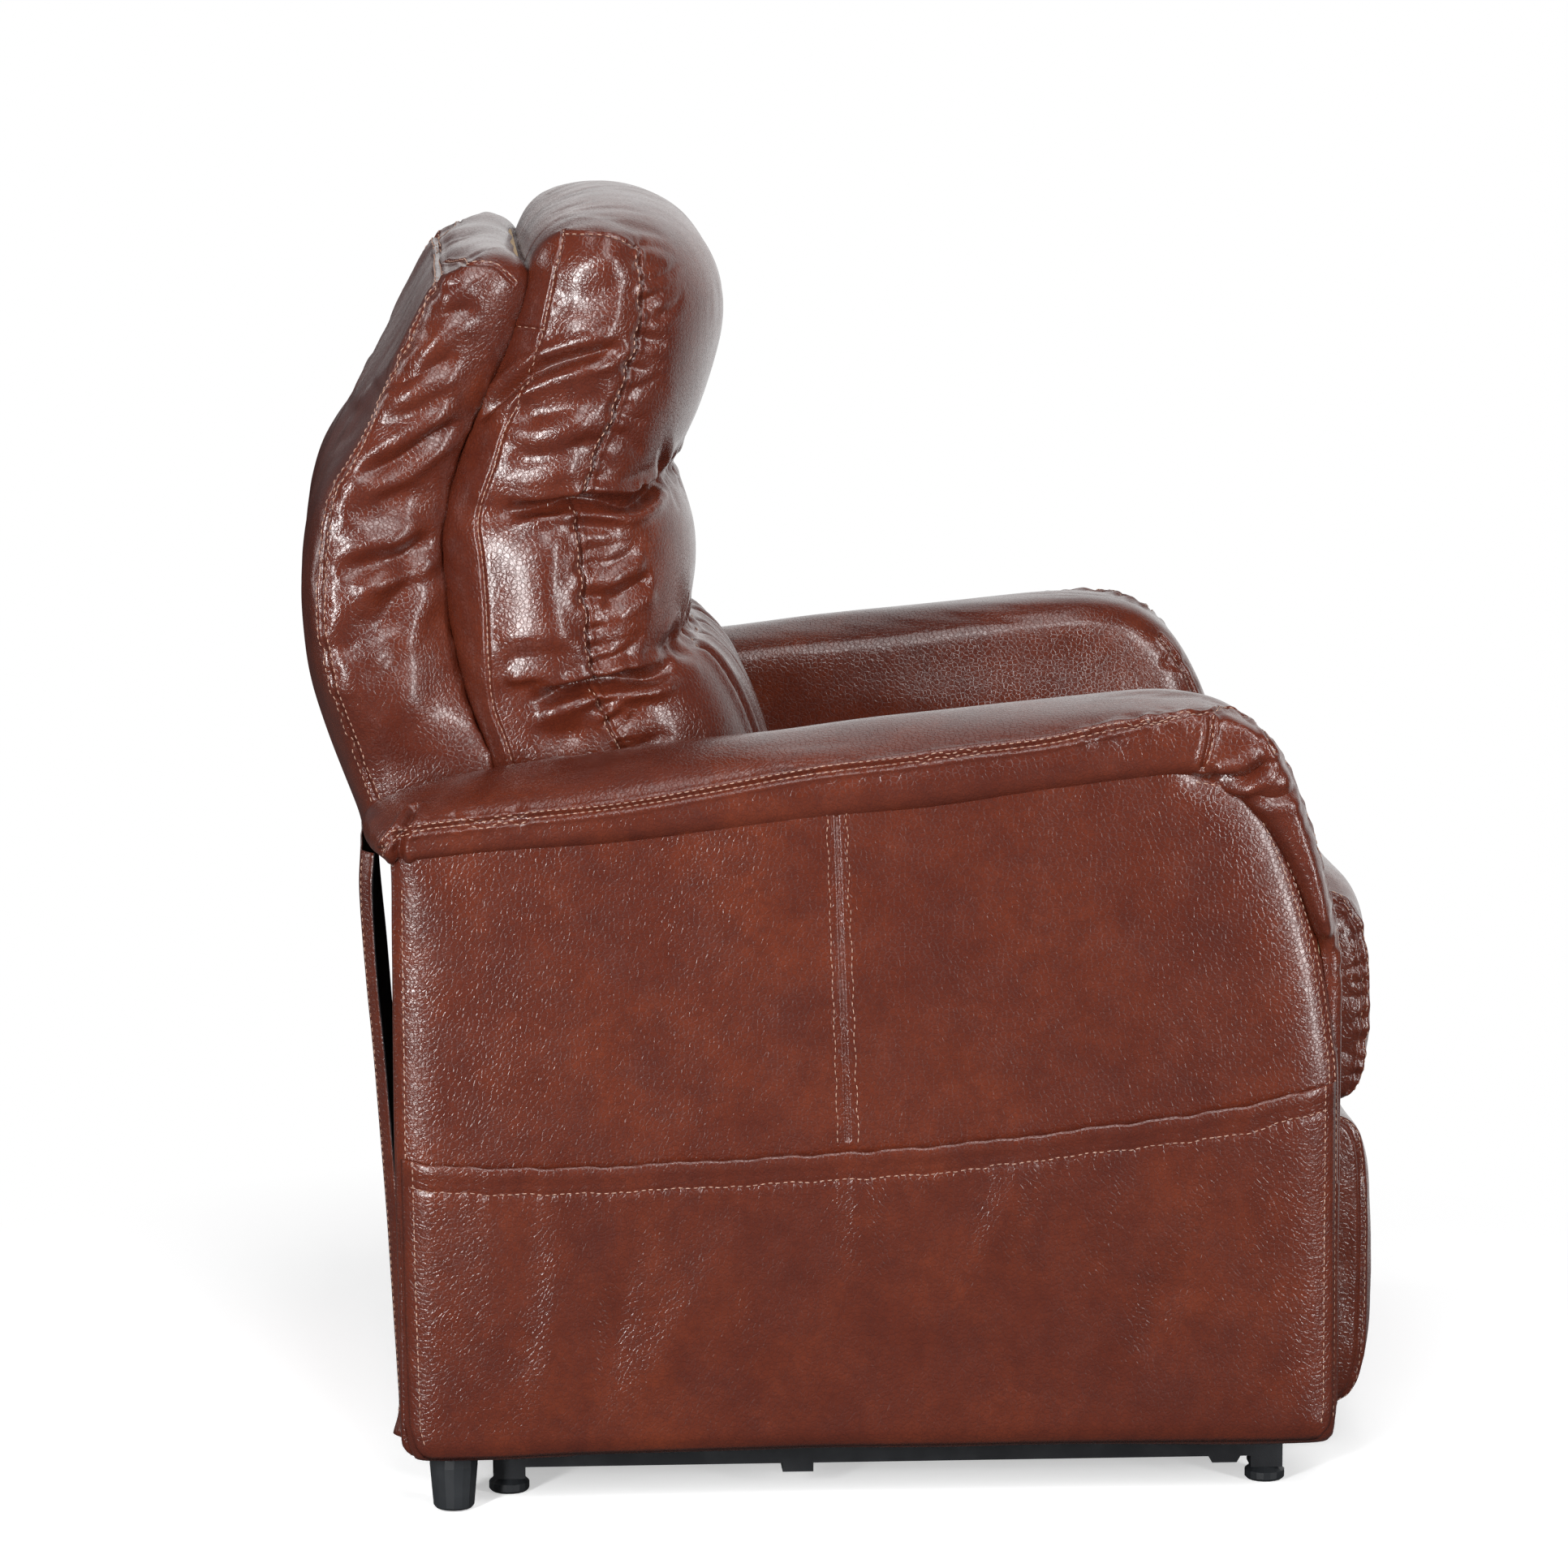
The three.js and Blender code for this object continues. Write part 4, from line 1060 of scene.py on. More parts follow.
class RECLINER_OT_back_cover(bpy.types.Operator):
    """Padded cover of the back of the backrest"""

    bl_idname = "recliner.back_cover"
    bl_label = "Back cover"

    def execute(self, context):
        settings = context.scene.recliner_cushions
        middle, side = (ring(outline, (80, 24, 80, 12)) for outline in (COVER_MIDDLE, COVER_SIDE))
        body = crowned("cover", middle, side, 0.279, 6.0, ((0.004, 0.004), (0.007, 0.010)))
        item = skin("back_cover", [body], settings.voxel, 6)
        self.taper(item)
        held = hold_seams(valleys(item, settings.voxel), item, [COVER_SEAM], 100)
        held = np.maximum(held, rise(points_of(item)[:, 2], 0.57, -0.02))
        tree = filled(item, held, 2.5, 0.009)
        lines = []
        sides = []
        for _, side in SIDES:
            paths, grooves = seams_of(tree, side, COVER_SEAMS)
            sides.append(paths)
            lines += grooves + creases_of(tree, side, COVER_FOLDS, 0.6, 0.3, 1.3)
            lines += gathers_of(tree, side, paths, COVER_GATHERS)
        top = hits(tree, [(x, 0.334, 1.3) for x in np.linspace(-0.262, 0.262, 90)], (0, 0, -1))
        lines.append(Line(top, 0.0018, 0.0024, 0.6))
        carve(item, lines, 2)
        ripple(item, 0.11, 0.0010, 5)
        dress(item, "hide", "back", ["back_shell"])
        sewing = Sewing("back_cover_stitches", item)
        for paths in sides:
            sewing.twin(paths["seam"], 0.0042)
            sewing.row(paths["over"], 0.003)
        sewing.twin(top)
        sewing.done("back")
        return {"FINISHED"}

    def taper(self, item):
        """Narrower between the arms and towards the pillows"""
        points = points_of(item)
        share = eased(points[:, 2], 0.600, 0.09)
        seam = np.array(COVER_SEAM[::-1], float) * MM
        ahead = rise(points[:, 1], np.interp(points[:, 2], seam[:, 1], seam[:, 0]), -0.10)
        points[:, 0] *= (0.925 + 0.075 * share) * (1 - 0.125 * ahead**2.2 * share)
        set_points(item, points)


# ---------------------------------------------------------------- seat

SEAT_MIDDLE = (
    [(46, 330), (47, 400), (44, 462), (36, 490), (12, 503)],
    [(12, 503), (-80, 516), (-200, 524), (-330, 521), (-400, 515), (-434, 504), (-449, 484), (-453, 450), (-454, 395),
     (-450, 345), (-438, 314), (-420, 306), (-402, 314), (-394, 323)],
    [(-394, 323), (-200, 323), (46, 330)],
)
SEAT_SIDE = (
    [(46, 334), (46, 400), (42, 452), (34, 470), (12, 482)],
    [(12, 482), (-80, 494), (-200, 500), (-330, 500), (-394, 497), (-424, 489), (-439, 469), (-444, 440), (-446, 395),
     (-443, 345), (-434, 322), (-420, 315), (-402, 320), (-394, 325)],
    [(-394, 325), (-200, 325), (46, 334)],
)
SEAT_WELT = [
    (30, 474), (-80, 495), (-200, 501), (-330, 500), (-392, 497), (-421, 488), (-436, 468), (-440, 440), (-442, 395),
    (-439, 345), (-432, 324),
]
SEAT_GATHERS = (
    ("welt", 1, 51, 0.034, 0.0022, 0.3, 0.013, 0.0036, 0.1),
    ("welt", -1, 61, 0.018, 0.0011, 0.3, 0.012, 0.0030, 0.1),
)
SEAT_HALF = 0.2685  # the cushion stays clear of the arms


class RECLINER_OT_seat(bpy.types.Operator):
    """Seat cushion with a waterfall front"""

    bl_idname = "recliner.seat"
    bl_label = "Seat cushion"

    def execute(self, context):
        settings = context.scene.recliner_cushions
        middle, side = (ring(outline, (20, 120, 60)) for outline in (SEAT_MIDDLE, SEAT_SIDE))
        body = crowned("seat", middle, side, 0.258, 3.2, ((0.004, 0.006), (0.006, 0.014)))
        item = skin("seat_pad", [body], settings.voxel, 6)
        points = points_of(item)
        held = np.maximum(rise(points[:, 2], 0.345, -0.012), rise(np.abs(points[:, 0]), 0.256, 0.006))
        held = hold_seams(held, item, [SEAT_WELT], 100)
        tree = filled(item, held, 3.0, 0.008, rounds=2)
        lines = []
        welts = []
        for _, side in SIDES:
            paths, grooves = seams_of(tree, side, {"welt": (SEAT_WELT, 120, 0.0020, 0.0024, 0.8)})
            welts.append((paths["welt"], side))
            lines += grooves + gathers_of(tree, side, paths, SEAT_GATHERS)
        carve(item, lines, 2)
        points = points_of(item)
        points[:, 0] = np.clip(points[:, 0], -SEAT_HALF, SEAT_HALF)
        set_points(item, points)
        ripple(item, 0.16, 0.0014, 7)
        dress(item, "hide", "chair", ["seat_cushion"])
        sewing = Sewing("seat_pad_stitches", item)
        for welt, side in welts:
            sewing.row(welt, -side * 0.005)
        sewing.done("chair")
        return {"FINISHED"}


# ---------------------------------------------------------------- footrest

FOOT_OUTLINE = (
    [(-389, 50), (-389, 303)],
    [(-389, 303), (-425, 304), (-440, 295), (-447, 272), (-451, 220), (-453, 160), (-452, 110), (-447, 76),
     (-436, 55), (-412, 44), (-389, 50)],
)
FOOT_WELT = [
    (-405, 302), (-426, 298), (-436, 286), (-441, 262), (-443, 200), (-443, 140), (-441, 96), (-434, 64), (-420, 50),
]
FOOT_BACK = -0.389  # the pad's rear face, on its board


class RECLINER_OT_footrest(bpy.types.Operator):
    """Padded panel of the footrest"""

    bl_idname = "recliner.footrest"
    bl_label = "Footrest pad"

    def execute(self, context):
        outline = ring(FOOT_OUTLINE, (50, 70))
        side = drawn_in(outline, 0.002)
        side[:, 0] = np.minimum(side[:, 0], FOOT_BACK)
        body = crowned("foot", outline, side, 0.259, 5.0, ((0.003, 0.005), (0.0055, 0.012)))
        item = skin("foot_pad", [body], context.scene.recliner_cushions.voxel, 5)
        tree = filled(item, rise(points_of(item)[:, 1], -0.396, 0.006), 1.5, 0.003)
        welts = [on_side(tree, side, FOOT_WELT, 60) for _, side in SIDES]
        carve(item, [Line(welt, 0.0018, 0.003, 0.6) for welt in welts])
        ripple(item, 0.14, 0.0009, 9)
        dress(item, "hide", "footrest", ["footrest_pad"])
        sewing = Sewing("foot_pad_stitches", item)
        for welt in welts:
            sewing.row(welt, 0.004)
        sewing.done("footrest")
        return {"FINISHED"}


# ---------------------------------------------------------------- arms

PAD_MIDDLE = (
    [(377, 548), (393, 551), (402, 560), (404, 576), (393, 589), (356, 603), (295, 615), (189, 631), (31, 649),
     (-40, 656), (-140, 667), (-247, 677), (-295, 673), (-322, 663), (-350, 637), (-376, 585), (-394, 530),
     (-403, 480), (-404, 462)],
    [(-404, 462), (-382, 460), (-371, 484), (-358, 514), (-340, 550), (-318, 578), (-301, 595), (-284, 604),
     (-34, 577), (37, 568), (138, 557), (247, 547), (377, 548)],
)
PAD_OUTER = (
    [(374, 556), (384, 562), (388, 572), (380, 582), (360, 586), (295, 594), (192, 603), (37, 629), (-33, 635),
     (-140, 650), (-236, 664), (-287, 669), (-316, 662), (-336, 648), (-354, 612), (-372, 566), (-384, 522),
     (-389, 492), (-388, 486)],
    [(-388, 486), (-383, 492), (-372, 526), (-354, 566), (-331, 600), (-310, 620), (-284, 629), (-229, 623),
     (-149, 612), (-34, 598), (41, 590), (123, 582), (198, 575), (288, 565), (374, 555)],
)
PAD_WALL = (
    [(377, 552), (356, 572), (295, 583), (189, 599), (31, 616), (-40, 624), (-140, 635), (-247, 643), (-280, 637),
     (-304, 622), (-328, 596), (-352, 552), (-372, 500), (-382, 470), (-384, 466)],
    [(-384, 466), (376, 466)],
    [(376, 466), (378, 520), (377, 552)],
)
PAD_BAND = (
    [(-383, 57), (-383, 514)],
    [(-383, 514), (-392, 502), (-400, 480), (-403, 450), (-404, 380), (-405, 77), (-400, 57)],
    [(-400, 57), (-383, 57)],
)
PAD_SEAM = [
    (387, 563), (379, 575), (365, 580), (288, 588), (198, 597), (123, 609), (37, 624), (-33, 632), (-85, 639),
    (-154, 647), (-202, 657), (-244, 665), (-271, 669), (-292, 670), (-308, 668), (-321, 662), (-332, 654),
    (-342, 638),
]
PAD_CORNER = [(-290, 667), (-288, 648), (-283, 626)]
PAD_CORNER_FOLD = [(-288, 619), (-300, 616), (-316, 617), (-328, 624), (-340, 634)]
BAND_FOLD = [(-322, 607), (-334, 601), (-348, 601), (-362, 606)]
REAR_PLEAT = [(360, 594), (369, 580), (373, 566), (371, 552)]
PAD_SEAMS = {
    "seam": (PAD_SEAM, 140, 0.0022, 0.0022, 0.7),
    "corner": (PAD_CORNER, 12, 0.0022, 0.0022, 0.7),
    "pleat": (REAR_PLEAT, 8, 0.0040, 0.0036, 0.8),
}
# Levels of the lofts: distance from the middle plane, and how far the outline is drawn in there
INNER_ROLL = (
    (0.2714, 0.032), (0.2722, 0.025), (0.2745, 0.018), (0.2790, 0.0115), (0.2850, 0.0060), (0.2925, 0.0020),
)
WALL_LEVELS = ((0.2714, 0.004), (0.2722, 0.001), (0.275, 0.0), (0.290, 0.0))
BAND_LEVELS = ((0.2745, 0.005), (0.277, 0.001), (0.29, 0.0), (0.382, 0.0), (0.3868, 0.001), (0.3885, 0.005))
ROUNDING = 14  # levels from the pad's middle to its outer edge


class RECLINER_OT_arm_pads(bpy.types.Operator):
    """Padded arm tops that roll over the front and the inner face of the arms"""

    bl_idname = "recliner.arm_pads"
    bl_label = "Arm pads"

    def execute(self, context):
        middle, outer = (ring(outline, (110, 80)) for outline in (PAD_MIDDLE, PAD_OUTER))
        stations = [(-x, drawn_in(middle, inset)) for x, inset in INNER_ROLL]
        for k in range(1, ROUNDING + 1):
            turn = math.sin(0.5 * math.pi * k / ROUNDING)
            stations.append((-0.300 - 0.107 * turn, outer + (middle - outer) * (1 - turn**2.1) ** 0.58))
        pad = loft("pad", stations)
        wall = layers("wall", ring(PAD_WALL, (100, 60, 12)), WALL_LEVELS)
        band = layers("band", ring(PAD_BAND, (60, 60, 4)), BAND_LEVELS)
        item = skin("arm_pad_cover_right", [pad, wall, band], 0.0055, 7)
        self.roll(item)
        x, y, z = points_of(item).T
        lower = np.interp(y, [-0.36, -0.284, 0.376], [0.56, 0.622, 0.551])
        held = np.maximum(rise(z, lower, -0.006), rise(x, -0.277, 0.005))
        held = hold_seams(held, item, [PAD_SEAM], 120, (-1,), 0.005)
        tree = filled(item, held, 2.0, 0.005, rounds=0)
        paths, lines = seams_of(tree, -1, PAD_SEAMS)
        lines.append(Line(on_side(tree, -1, PAD_CORNER_FOLD, 24), 0.0085, 0.0050, 0.45, 0.2, 1.3))
        lines.append(Line(on_side(tree, -1, BAND_FOLD, 16), 0.0036, 0.0050, 0.45, 0.3, 1.4))
        seam = paths["seam"]
        front = seam[(seam[:, 1] < -0.19) & (seam[:, 1] > -0.33)]
        centre = seam[(seam[:, 1] > -0.20) & (seam[:, 1] < 0.05)]
        rear = seam[seam[:, 1] > 0.28]
        lines += gathers(tree, centre, 0.016, 0.0007, 71, -1, 0.3, 0.010, 0.0026, 0.3)
        lines += gathers(tree, front, 0.038, 0.0019, 73, -1, 0.3, 0.0130, 0.0038, 0.1)
        lines += gathers(tree, front, 0.028, 0.0014, 74, 1, 0.3, 0.0130, 0.0036, 0.1)
        lines += gathers(tree, rear, 0.020, 0.0016, 75, 1, 0.3, 0.014, 0.003, 0.15)
        edges = []
        for x in (-0.284, -0.378):
            path = hits(tree, [(x, -0.5, z) for z in np.linspace(0.07, 0.64, 70)], (0, 1, 0))
            edges.append(path)
            lines.append(Line(path, 0.0020, 0.0022, 0.6))
            high = path[path[:, 2] > 0.44]
            for seed, way in ((81, 1), (82, -1)):
                lines += gathers(tree, high, 0.026, 0.0016, seed, way, 0.3, 0.0140, 0.0038, 0.2)
        carve(item, lines, 2)
        ripple(item, 0.13, 0.0007, 13)
        for name, side, cover in pair(item, "arm_pad_cover"):
            dress(cover, "hide", "chair", [f"arm_pad_{name}"])
            sewing = Sewing(f"arm_pad_{name}_stitches", cover)
            flip = np.array([-side, 1, 1])
            sewing.twin(seam * flip, 0.0038)
            sewing.row(paths["corner"] * flip, 0.003)
            for path in edges:
                sewing.row(path * flip, 0.003 * side)
            sewing.done("chair")
        return {"FINISHED"}

    def roll(self, item):
        """The inner face swells above the seat and turns in towards the front"""
        points = points_of(item)
        x, y, z = points.T
        swell = np.exp(-(((z - 0.578) / 0.040) ** 2)) * rise(y, 0.03, -0.12)
        front = np.clip((-0.195 - y) / 0.17, 0, 1.1) ** 2 * rise(z, 0.52, 0.03)
        points[:, 0] += rise(x, -0.310, 0.030) * (0.009 * swell * (1 - 0.8 * front) - 0.0062 * front)
        set_points(item, points)


PANEL_BOTTOM = [
    (-404, 77), (-402, 60), (-396, 53), (-380, 52), (-200, 53), (36, 53), (238, 50), (300, 47), (353, 47), (367, 52),
    (373, 75),
]
PANEL_REAR = [(373, 75), (376, 200), (378, 326), (378, 528)]
PANEL_TOP = [
    (378, 528), (377, 562), (340, 572), (247, 580), (138, 592), (37, 604), (-34, 612), (-240, 637), (-272, 634),
    (-283, 621),
]
PANEL_FRONT = [(-283, 621), (-307, 616), (-326, 604), (-343, 582), (-359, 547), (-373, 509), (-387, 460), (-396, 411),
               (-402, 362), (-404, 246), (-404, 77)]
PANEL_SEAM = [(16, 590), (14, 540), (12, 480), (9, 400), (6, 318)]
PANEL_BACK = 0.3857  # distance of the panel's inner face from the middle plane
PANEL_THICK = 0.0153
PANEL_ROUND = 0.038  # how far the edge is drawn in from the outline
PANEL_LAP = 0.0015  # the panel's foot covers the joint to its neighbours
EDGE_LEVELS = 9


def panel_outline():
    """Outline of a side panel, and how much of the rounding each point takes"""
    counts = (100, 60, 90, 90)
    outline = ring((PANEL_BOTTOM, PANEL_REAR, PANEL_TOP, PANEL_FRONT), counts)
    rear = 0.85 + 0.6 * np.linspace(0, 1, counts[1]) ** 3
    front = 1.1 + 0.35 * np.exp(-(((np.arange(counts[3]) - 14) / 16) ** 2))
    share = np.concatenate([np.full(counts[0], 0.6), rear, np.full(counts[2], 0.3), front])
    share = np.convolve(np.concatenate([share[-7:], share, share[:7]]), np.ones(15) / 15, "valid")
    return outline, share


class RECLINER_OT_side_panels(bpy.types.Operator):
    """Padded outer panels of the arms, with a centre seam"""

    bl_idname = "recliner.side_panels"
    bl_label = "Side panels"

    def execute(self, context):
        outline, share = panel_outline()
        levels = [(PANEL_BACK - 0.0019, -PANEL_LAP), (PANEL_BACK, -PANEL_LAP)]
        for k in range(1, EDGE_LEVELS + 1):
            turn = 0.5 * math.pi * k / EDGE_LEVELS
            inset = PANEL_ROUND * (1 - math.cos(turn)) - PANEL_LAP * (1 - k / EDGE_LEVELS)
            levels.append((PANEL_BACK + PANEL_THICK * math.sin(turn), inset))
        item = skin("side_panel_cover_right", [layers("panel", outline, levels, share)], 0.0045, 5)
        tree = tree_of(item)
        seam = on_side(tree, -1, PANEL_SEAM, 60)
        carve(item, [Line(seam, 0.0015, 0.0016, 0.3)], 2)
        ripple(item, 0.22, 0.0007, 17)
        rows = []
        for edge, inset in ((PANEL_FRONT, 4), (PANEL_FRONT, 9), (PANEL_REAR, 8)):
            path = np.array(edge, float)
            way = np.gradient(path, axis=0)
            way /= np.linalg.norm(way, axis=1)[:, None]
            inward = np.stack([-way[:, 1], way[:, 0]], 1)
            rows.append(on_side(tree, -1, path + inward * inset, 110))
        for name, side, cover in pair(item, "side_panel_cover"):
            dress(cover, "hide", "chair", [f"side_panel_{name}"])
            sewing = Sewing(f"side_panel_{name}_stitches", cover)
            flip = np.array([-side, 1, 1])
            sewing.twin(seam * flip, 0.0088)
            for path in rows:
                sewing.row(path * flip)
            sewing.done("chair")
        return {"FINISHED"}


LINING_OUTLINE = (
    [(-398, 52), (-200, 53), (36, 53), (238, 50), (300, 47), (353, 47), (367, 52), (373, 75)],
    [(373, 75), (376, 200), (377, 326), (377, 468)],
    [(377, 468), (-390, 468)],
    [(-390, 468), (-396, 428), (-402, 380), (-404, 77), (-403, 60), (-398, 52)],
)
ARM_REAR = (
    [(363, 50), (375, 60), (377, 200), (379, 330), (379, 546)],
    [(379, 546), (372, 546), (370, 200), (363, 60), (363, 50)],
)
LINING_LEVELS = ((0.2714, 0.0120), (0.2719, 0.0060), (0.2738, 0.0015), (0.2785, 0.0010))
REAR_LEVELS = ((0.2745, 0.001), (0.278, 0.0), (0.386, 0.0), (0.389, 0.001))


class RECLINER_OT_arm_linings(bpy.types.Operator):
    """Covers of the inner faces and of the rear of the arms"""

    bl_idname = "recliner.arm_linings"
    bl_label = "Arm linings"

    def execute(self, context):
        lining = layers("lining", ring(LINING_OUTLINE, (60, 40, 60, 50)), LINING_LEVELS)
        lining = skin("arm_lining_cover_right", [lining], 0.0042, 4)
        cap = skin("arm_rear_cover_right", [layers("cap", ring(ARM_REAR, (60, 60)), REAR_LEVELS)], 0.0035, 3)
        # Both covers take the darker copy of the hide: painted shade.
        for name, _, cover in pair(lining, "arm_lining_cover"):
            dress(cover, "hide_shaded", "chair", [f"arm_lining_{name}"])
        for _, _, cover in pair(cap, "arm_rear_cover"):
            dress(cover, "hide_shaded", "chair", [])
        return {"FINISHED"}


# ---------------------------------------------------------------- pockets

HEM = [
    (375, 306), (323, 301), (229, 300), (122, 304), (-3, 310), (-86, 316), (-178, 326), (-271, 337), (-333, 347),
    (-404, 363),
]
HEM_DEPTH = 0.0225  # the stitch line of the elastic's tunnel below the hem
POCKET_FOOT = ((-0.4, -0.38, 0.036, 0.238, 0.305, 0.352, 0.37), (0.060, 0.056, 0.0565, 0.0535, 0.0508, 0.0505, 0.060))
PANEL_EDGES = (  # heights and places of the side panel's front and rear edge
    ((0.05, 0.06, 0.077, 0.362, 0.411), (-0.390, -0.401, -0.404, -0.402, -0.396)),
    ((0.047, 0.055, 0.075, 0.2, 0.33), (0.356, 0.367, 0.3725, 0.3755, 0.3775)),
)


def sheet_object(name, grid, thick, offset, turned=False):
    """A grid of points made into a sheet with a thickness"""
    across, row = grid.shape[0] - 1, grid.shape[1]
    starts = [i * row + j for i in range(across) for j in range(row - 1)]
    faces = [(a, a + 1, a + row + 1, a + row) for a in starts]
    if turned:
        faces = [(a, d, c, b) for a, b, c, d in faces]
    item = link(name, mesh_of(name, grid.reshape(-1, 3), faces))
    apply_modifier(item, "SOLIDIFY", thickness=thick, offset=offset)
    return item


class RECLINER_OT_pockets(bpy.types.Operator):
    """Full-length side pockets with an elastic hem"""

    bl_idname = "recliner.pockets"
    bl_label = "Side pockets"

    def execute(self, context):
        for name, side in SIDES:
            item, tunnel, ends = self.sheet(name, side)
            dress(item, "hide", "chair", [f"side_pocket_{name}"])
            sewing = Sewing(f"side_pocket_{name}_stitches", item)
            for path in (tunnel, *ends):
                sewing.row(path)
            sewing.done("chair")
        return {"FINISHED"}

    def sheet(self, name, side):
        """The pocket, the stitch line of its hem and those of its ends"""
        across, up = 240, 100
        tree = tree_of(bpy.data.objects[f"side_panel_cover_{name}"])
        draw = np.random.default_rng(90 + side)
        hem = smooth_line(HEM, 200) * MM
        hem = hem[np.argsort(hem[:, 0])]
        depth = 0.020 if side > 0 else 0.0085
        folds = []
        for _ in range(20):
            place = (draw.uniform(-0.34, 0.34), draw.uniform(0.25, 0.85), draw.normal() * 0.4)
            folds.append((*place, draw.uniform(0.012, 0.03), draw.uniform(-1.0, 1.0)))
        grid = np.zeros((across + 1, up + 1, 3))
        for j in range(up + 1):
            v = (j / up) ** 0.9
            y0 = float(np.interp(0.05 + v * 0.31, *PANEL_EDGES[0])) + 0.0035
            y1 = float(np.interp(0.05 + v * 0.26, *PANEL_EDGES[1])) - 0.0035
            for i in range(across + 1):
                y = y0 + (y1 - y0) * i / across
                top = float(np.interp(y, hem[:, 0], hem[:, 1]))
                top += 0.0007 * math.sin(y * 97 + 2 * math.sin(y * 23)) + 0.0004 * math.sin(y * 260 + 1)
                base = float(np.interp(y, *POCKET_FOOT))
                z = base + (top - base) * v
                hit = tree.ray_cast(Vector((side * OUTSIDE, y, z)), Vector((-side, 0, 0)))[0]
                wide = min(1.0, max(0.0, min(y - y0, y1 - y)) / 0.07) ** 0.6
                out = abs(hit.x) if hit is not None else 0.388
                out += 0.0014 + depth * wide * v**1.3
                out += 0.0034 * self.slack(y, v, folds) * wide * min(1.0, v / 0.3)
                out += self.hem(y, top - z, wide)
                grid[i, j] = (side * out, y, z)
        item = sheet_object(f"side_pocket_cover_{name}", grid, 0.0014, -1.0, side > 0)
        below = np.argmin(np.abs(grid[:, :, 2] - (grid[:, -1:, 2] - HEM_DEPTH)), axis=1)
        tunnel = np.array([grid[i, below[i]] for i in range(3, across - 2)])
        return item, tunnel, (grid[3, 4:-1], grid[-4, 4:-1])

    def slack(self, y, v, folds):
        """Slanting folds below the hem"""
        slack = 0.0
        for fold_y, fold_v, lean, width, strength in folds:
            away = (y - fold_y - lean * (v - 0.9) * 0.2) / width
            slack += strength * math.exp(-away * away) * max(0.0, 1 - abs(v - fold_v) / 0.45)
        return slack * min(1.0, max(0.0, (1 - v) / 0.1))

    def hem(self, y, drop, wide):
        """Puckers, rolled edge and sunken stitch line of the hem"""
        pucker = math.sin(y * 2 * math.pi / 0.013 + 3 * math.sin(y * 31)) * math.exp(-abs(drop - 0.022) / 0.008)
        roll = 0.0014 * math.exp(-(((drop - 0.006) / 0.007) ** 2))
        return 0.0007 * pucker * wide + roll - 0.0009 * math.exp(-(((drop - HEM_DEPTH) / 0.0020) ** 2))


# ---------------------------------------------------------------- skirt

SKIRT = [
    (404, 541), (406, 507), (403, 439), (397, 369), (392, 300), (387, 230), (383, 160), (379, 90), (378, 58),
    (383, 37),
]
SKIRT_HALF = 0.282


class RECLINER_OT_skirt(bpy.types.Operator):
    """Loose rear skirt, lined inside, that closes the back of the chair"""

    bl_idname = "recliner.skirt"
    bl_label = "Rear skirt"

    def execute(self, context):
        path = smooth_line(SKIRT, 120) * MM
        draw = np.random.default_rng(33)
        waves = [
            (draw.uniform(3, 14), draw.uniform(0, 6.28), draw.uniform(-4, 4), draw.uniform(0.3, 1.0)) for _ in range(10)
        ]
        across = 130
        grid = np.zeros((across + 1, len(path), 3))
        for i in range(across + 1):
            u = 2 * i / across - 1
            for j, (y, z) in enumerate(path):
                v = j / (len(path) - 1)
                bends = (high * math.sin(turns * u * 2.2 + shift + lean * v) for turns, shift, lean, high in waves)
                sway = sum(bends) / 5
                free = min(1.0, (1 - abs(u)) / 0.10)
                sag = -0.013 * (1 - u * u) * min(1.0, v / 0.2)
                curl = -0.011 * max(0.0, (abs(u) - 0.93) / 0.07) ** 1.6
                out = y + sag + curl + 0.0022 * sway * (0.3 + v) * free
                grid[i, j] = (u * (SKIRT_HALF - 0.010 * v), out, z)
        item = sheet_object("rear_skirt_cover", grid, 0.0016, 0.0)
        edit_mesh(item.data, face_outwards)
        dress(item, "hide", None, ["rear_skirt"])
        item.data.materials.append(finish_of("dust_cloth"))
        for face in item.data.polygons:
            if face.normal.y < -0.3:
                face.material_index = 1
        sewing = Sewing("rear_skirt_stitches", item)
        for row in (grid[:, -6], grid[3, 2:-6], grid[-4, 2:-6]):
            sewing.row(row + (0, 0.001, 0))
        rows = sewing.done(None)
        for piece in (item, rows):
            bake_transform(piece)
        return {"FINISHED"}


# ---------------------------------------------------------------- mechanism

BARE_SLOTS = ("ply", "frame_steel", "rod_steel", "black_plastic", "button_grey")


class RECLINER_OT_mechanism(bpy.types.Operator):
    """Finishes of the frame, linkages, drives and fittings"""

    bl_idname = "recliner.mechanism"
    bl_label = "Mechanism"

    def execute(self, context):
        slots = {part["node"]: part["material_slot"] for part in frame["record"]["subparts"]}
        for name, node in NODES.items():
            if slots[name] in BARE_SLOTS and not node.hide_render:
                node.data.materials.clear()
                node.data.materials.append(finish_of(slots[name]))
        return {"FINISHED"}


# ---------------------------------------------------------------- stage

LAMPS = (  # name, place, aim, size, watts
    ("Overhead soft light", (-1.3, 0.0, 3.1), (0, 0, 0.5), (1.0, 2.2), 28),
    ("High front light", (-3.6, -0.7, 3.0), (0, 0, 0.5), (1.4, 1.0), 46),
    ("Rear strip light", (-2.75, 1.62, 0.95), (0, 0.1, 0.6), (0.28, 2.2), 92),
    ("Rear side light", (0.6, 3.0, 1.3), (0, 0.1, 0.6), (0.7, 2.2), 24),
    ("Front strip light", (-2.5, -2.0, 1.0), (0, -0.1, 0.5), (0.36, 2.0), 54),
)


def turned_to(place, aim):
    """Rotation of a camera or lamp that looks at a point"""
    return (Vector(aim) - Vector(place)).to_track_quat("-Z", "Y").to_euler()


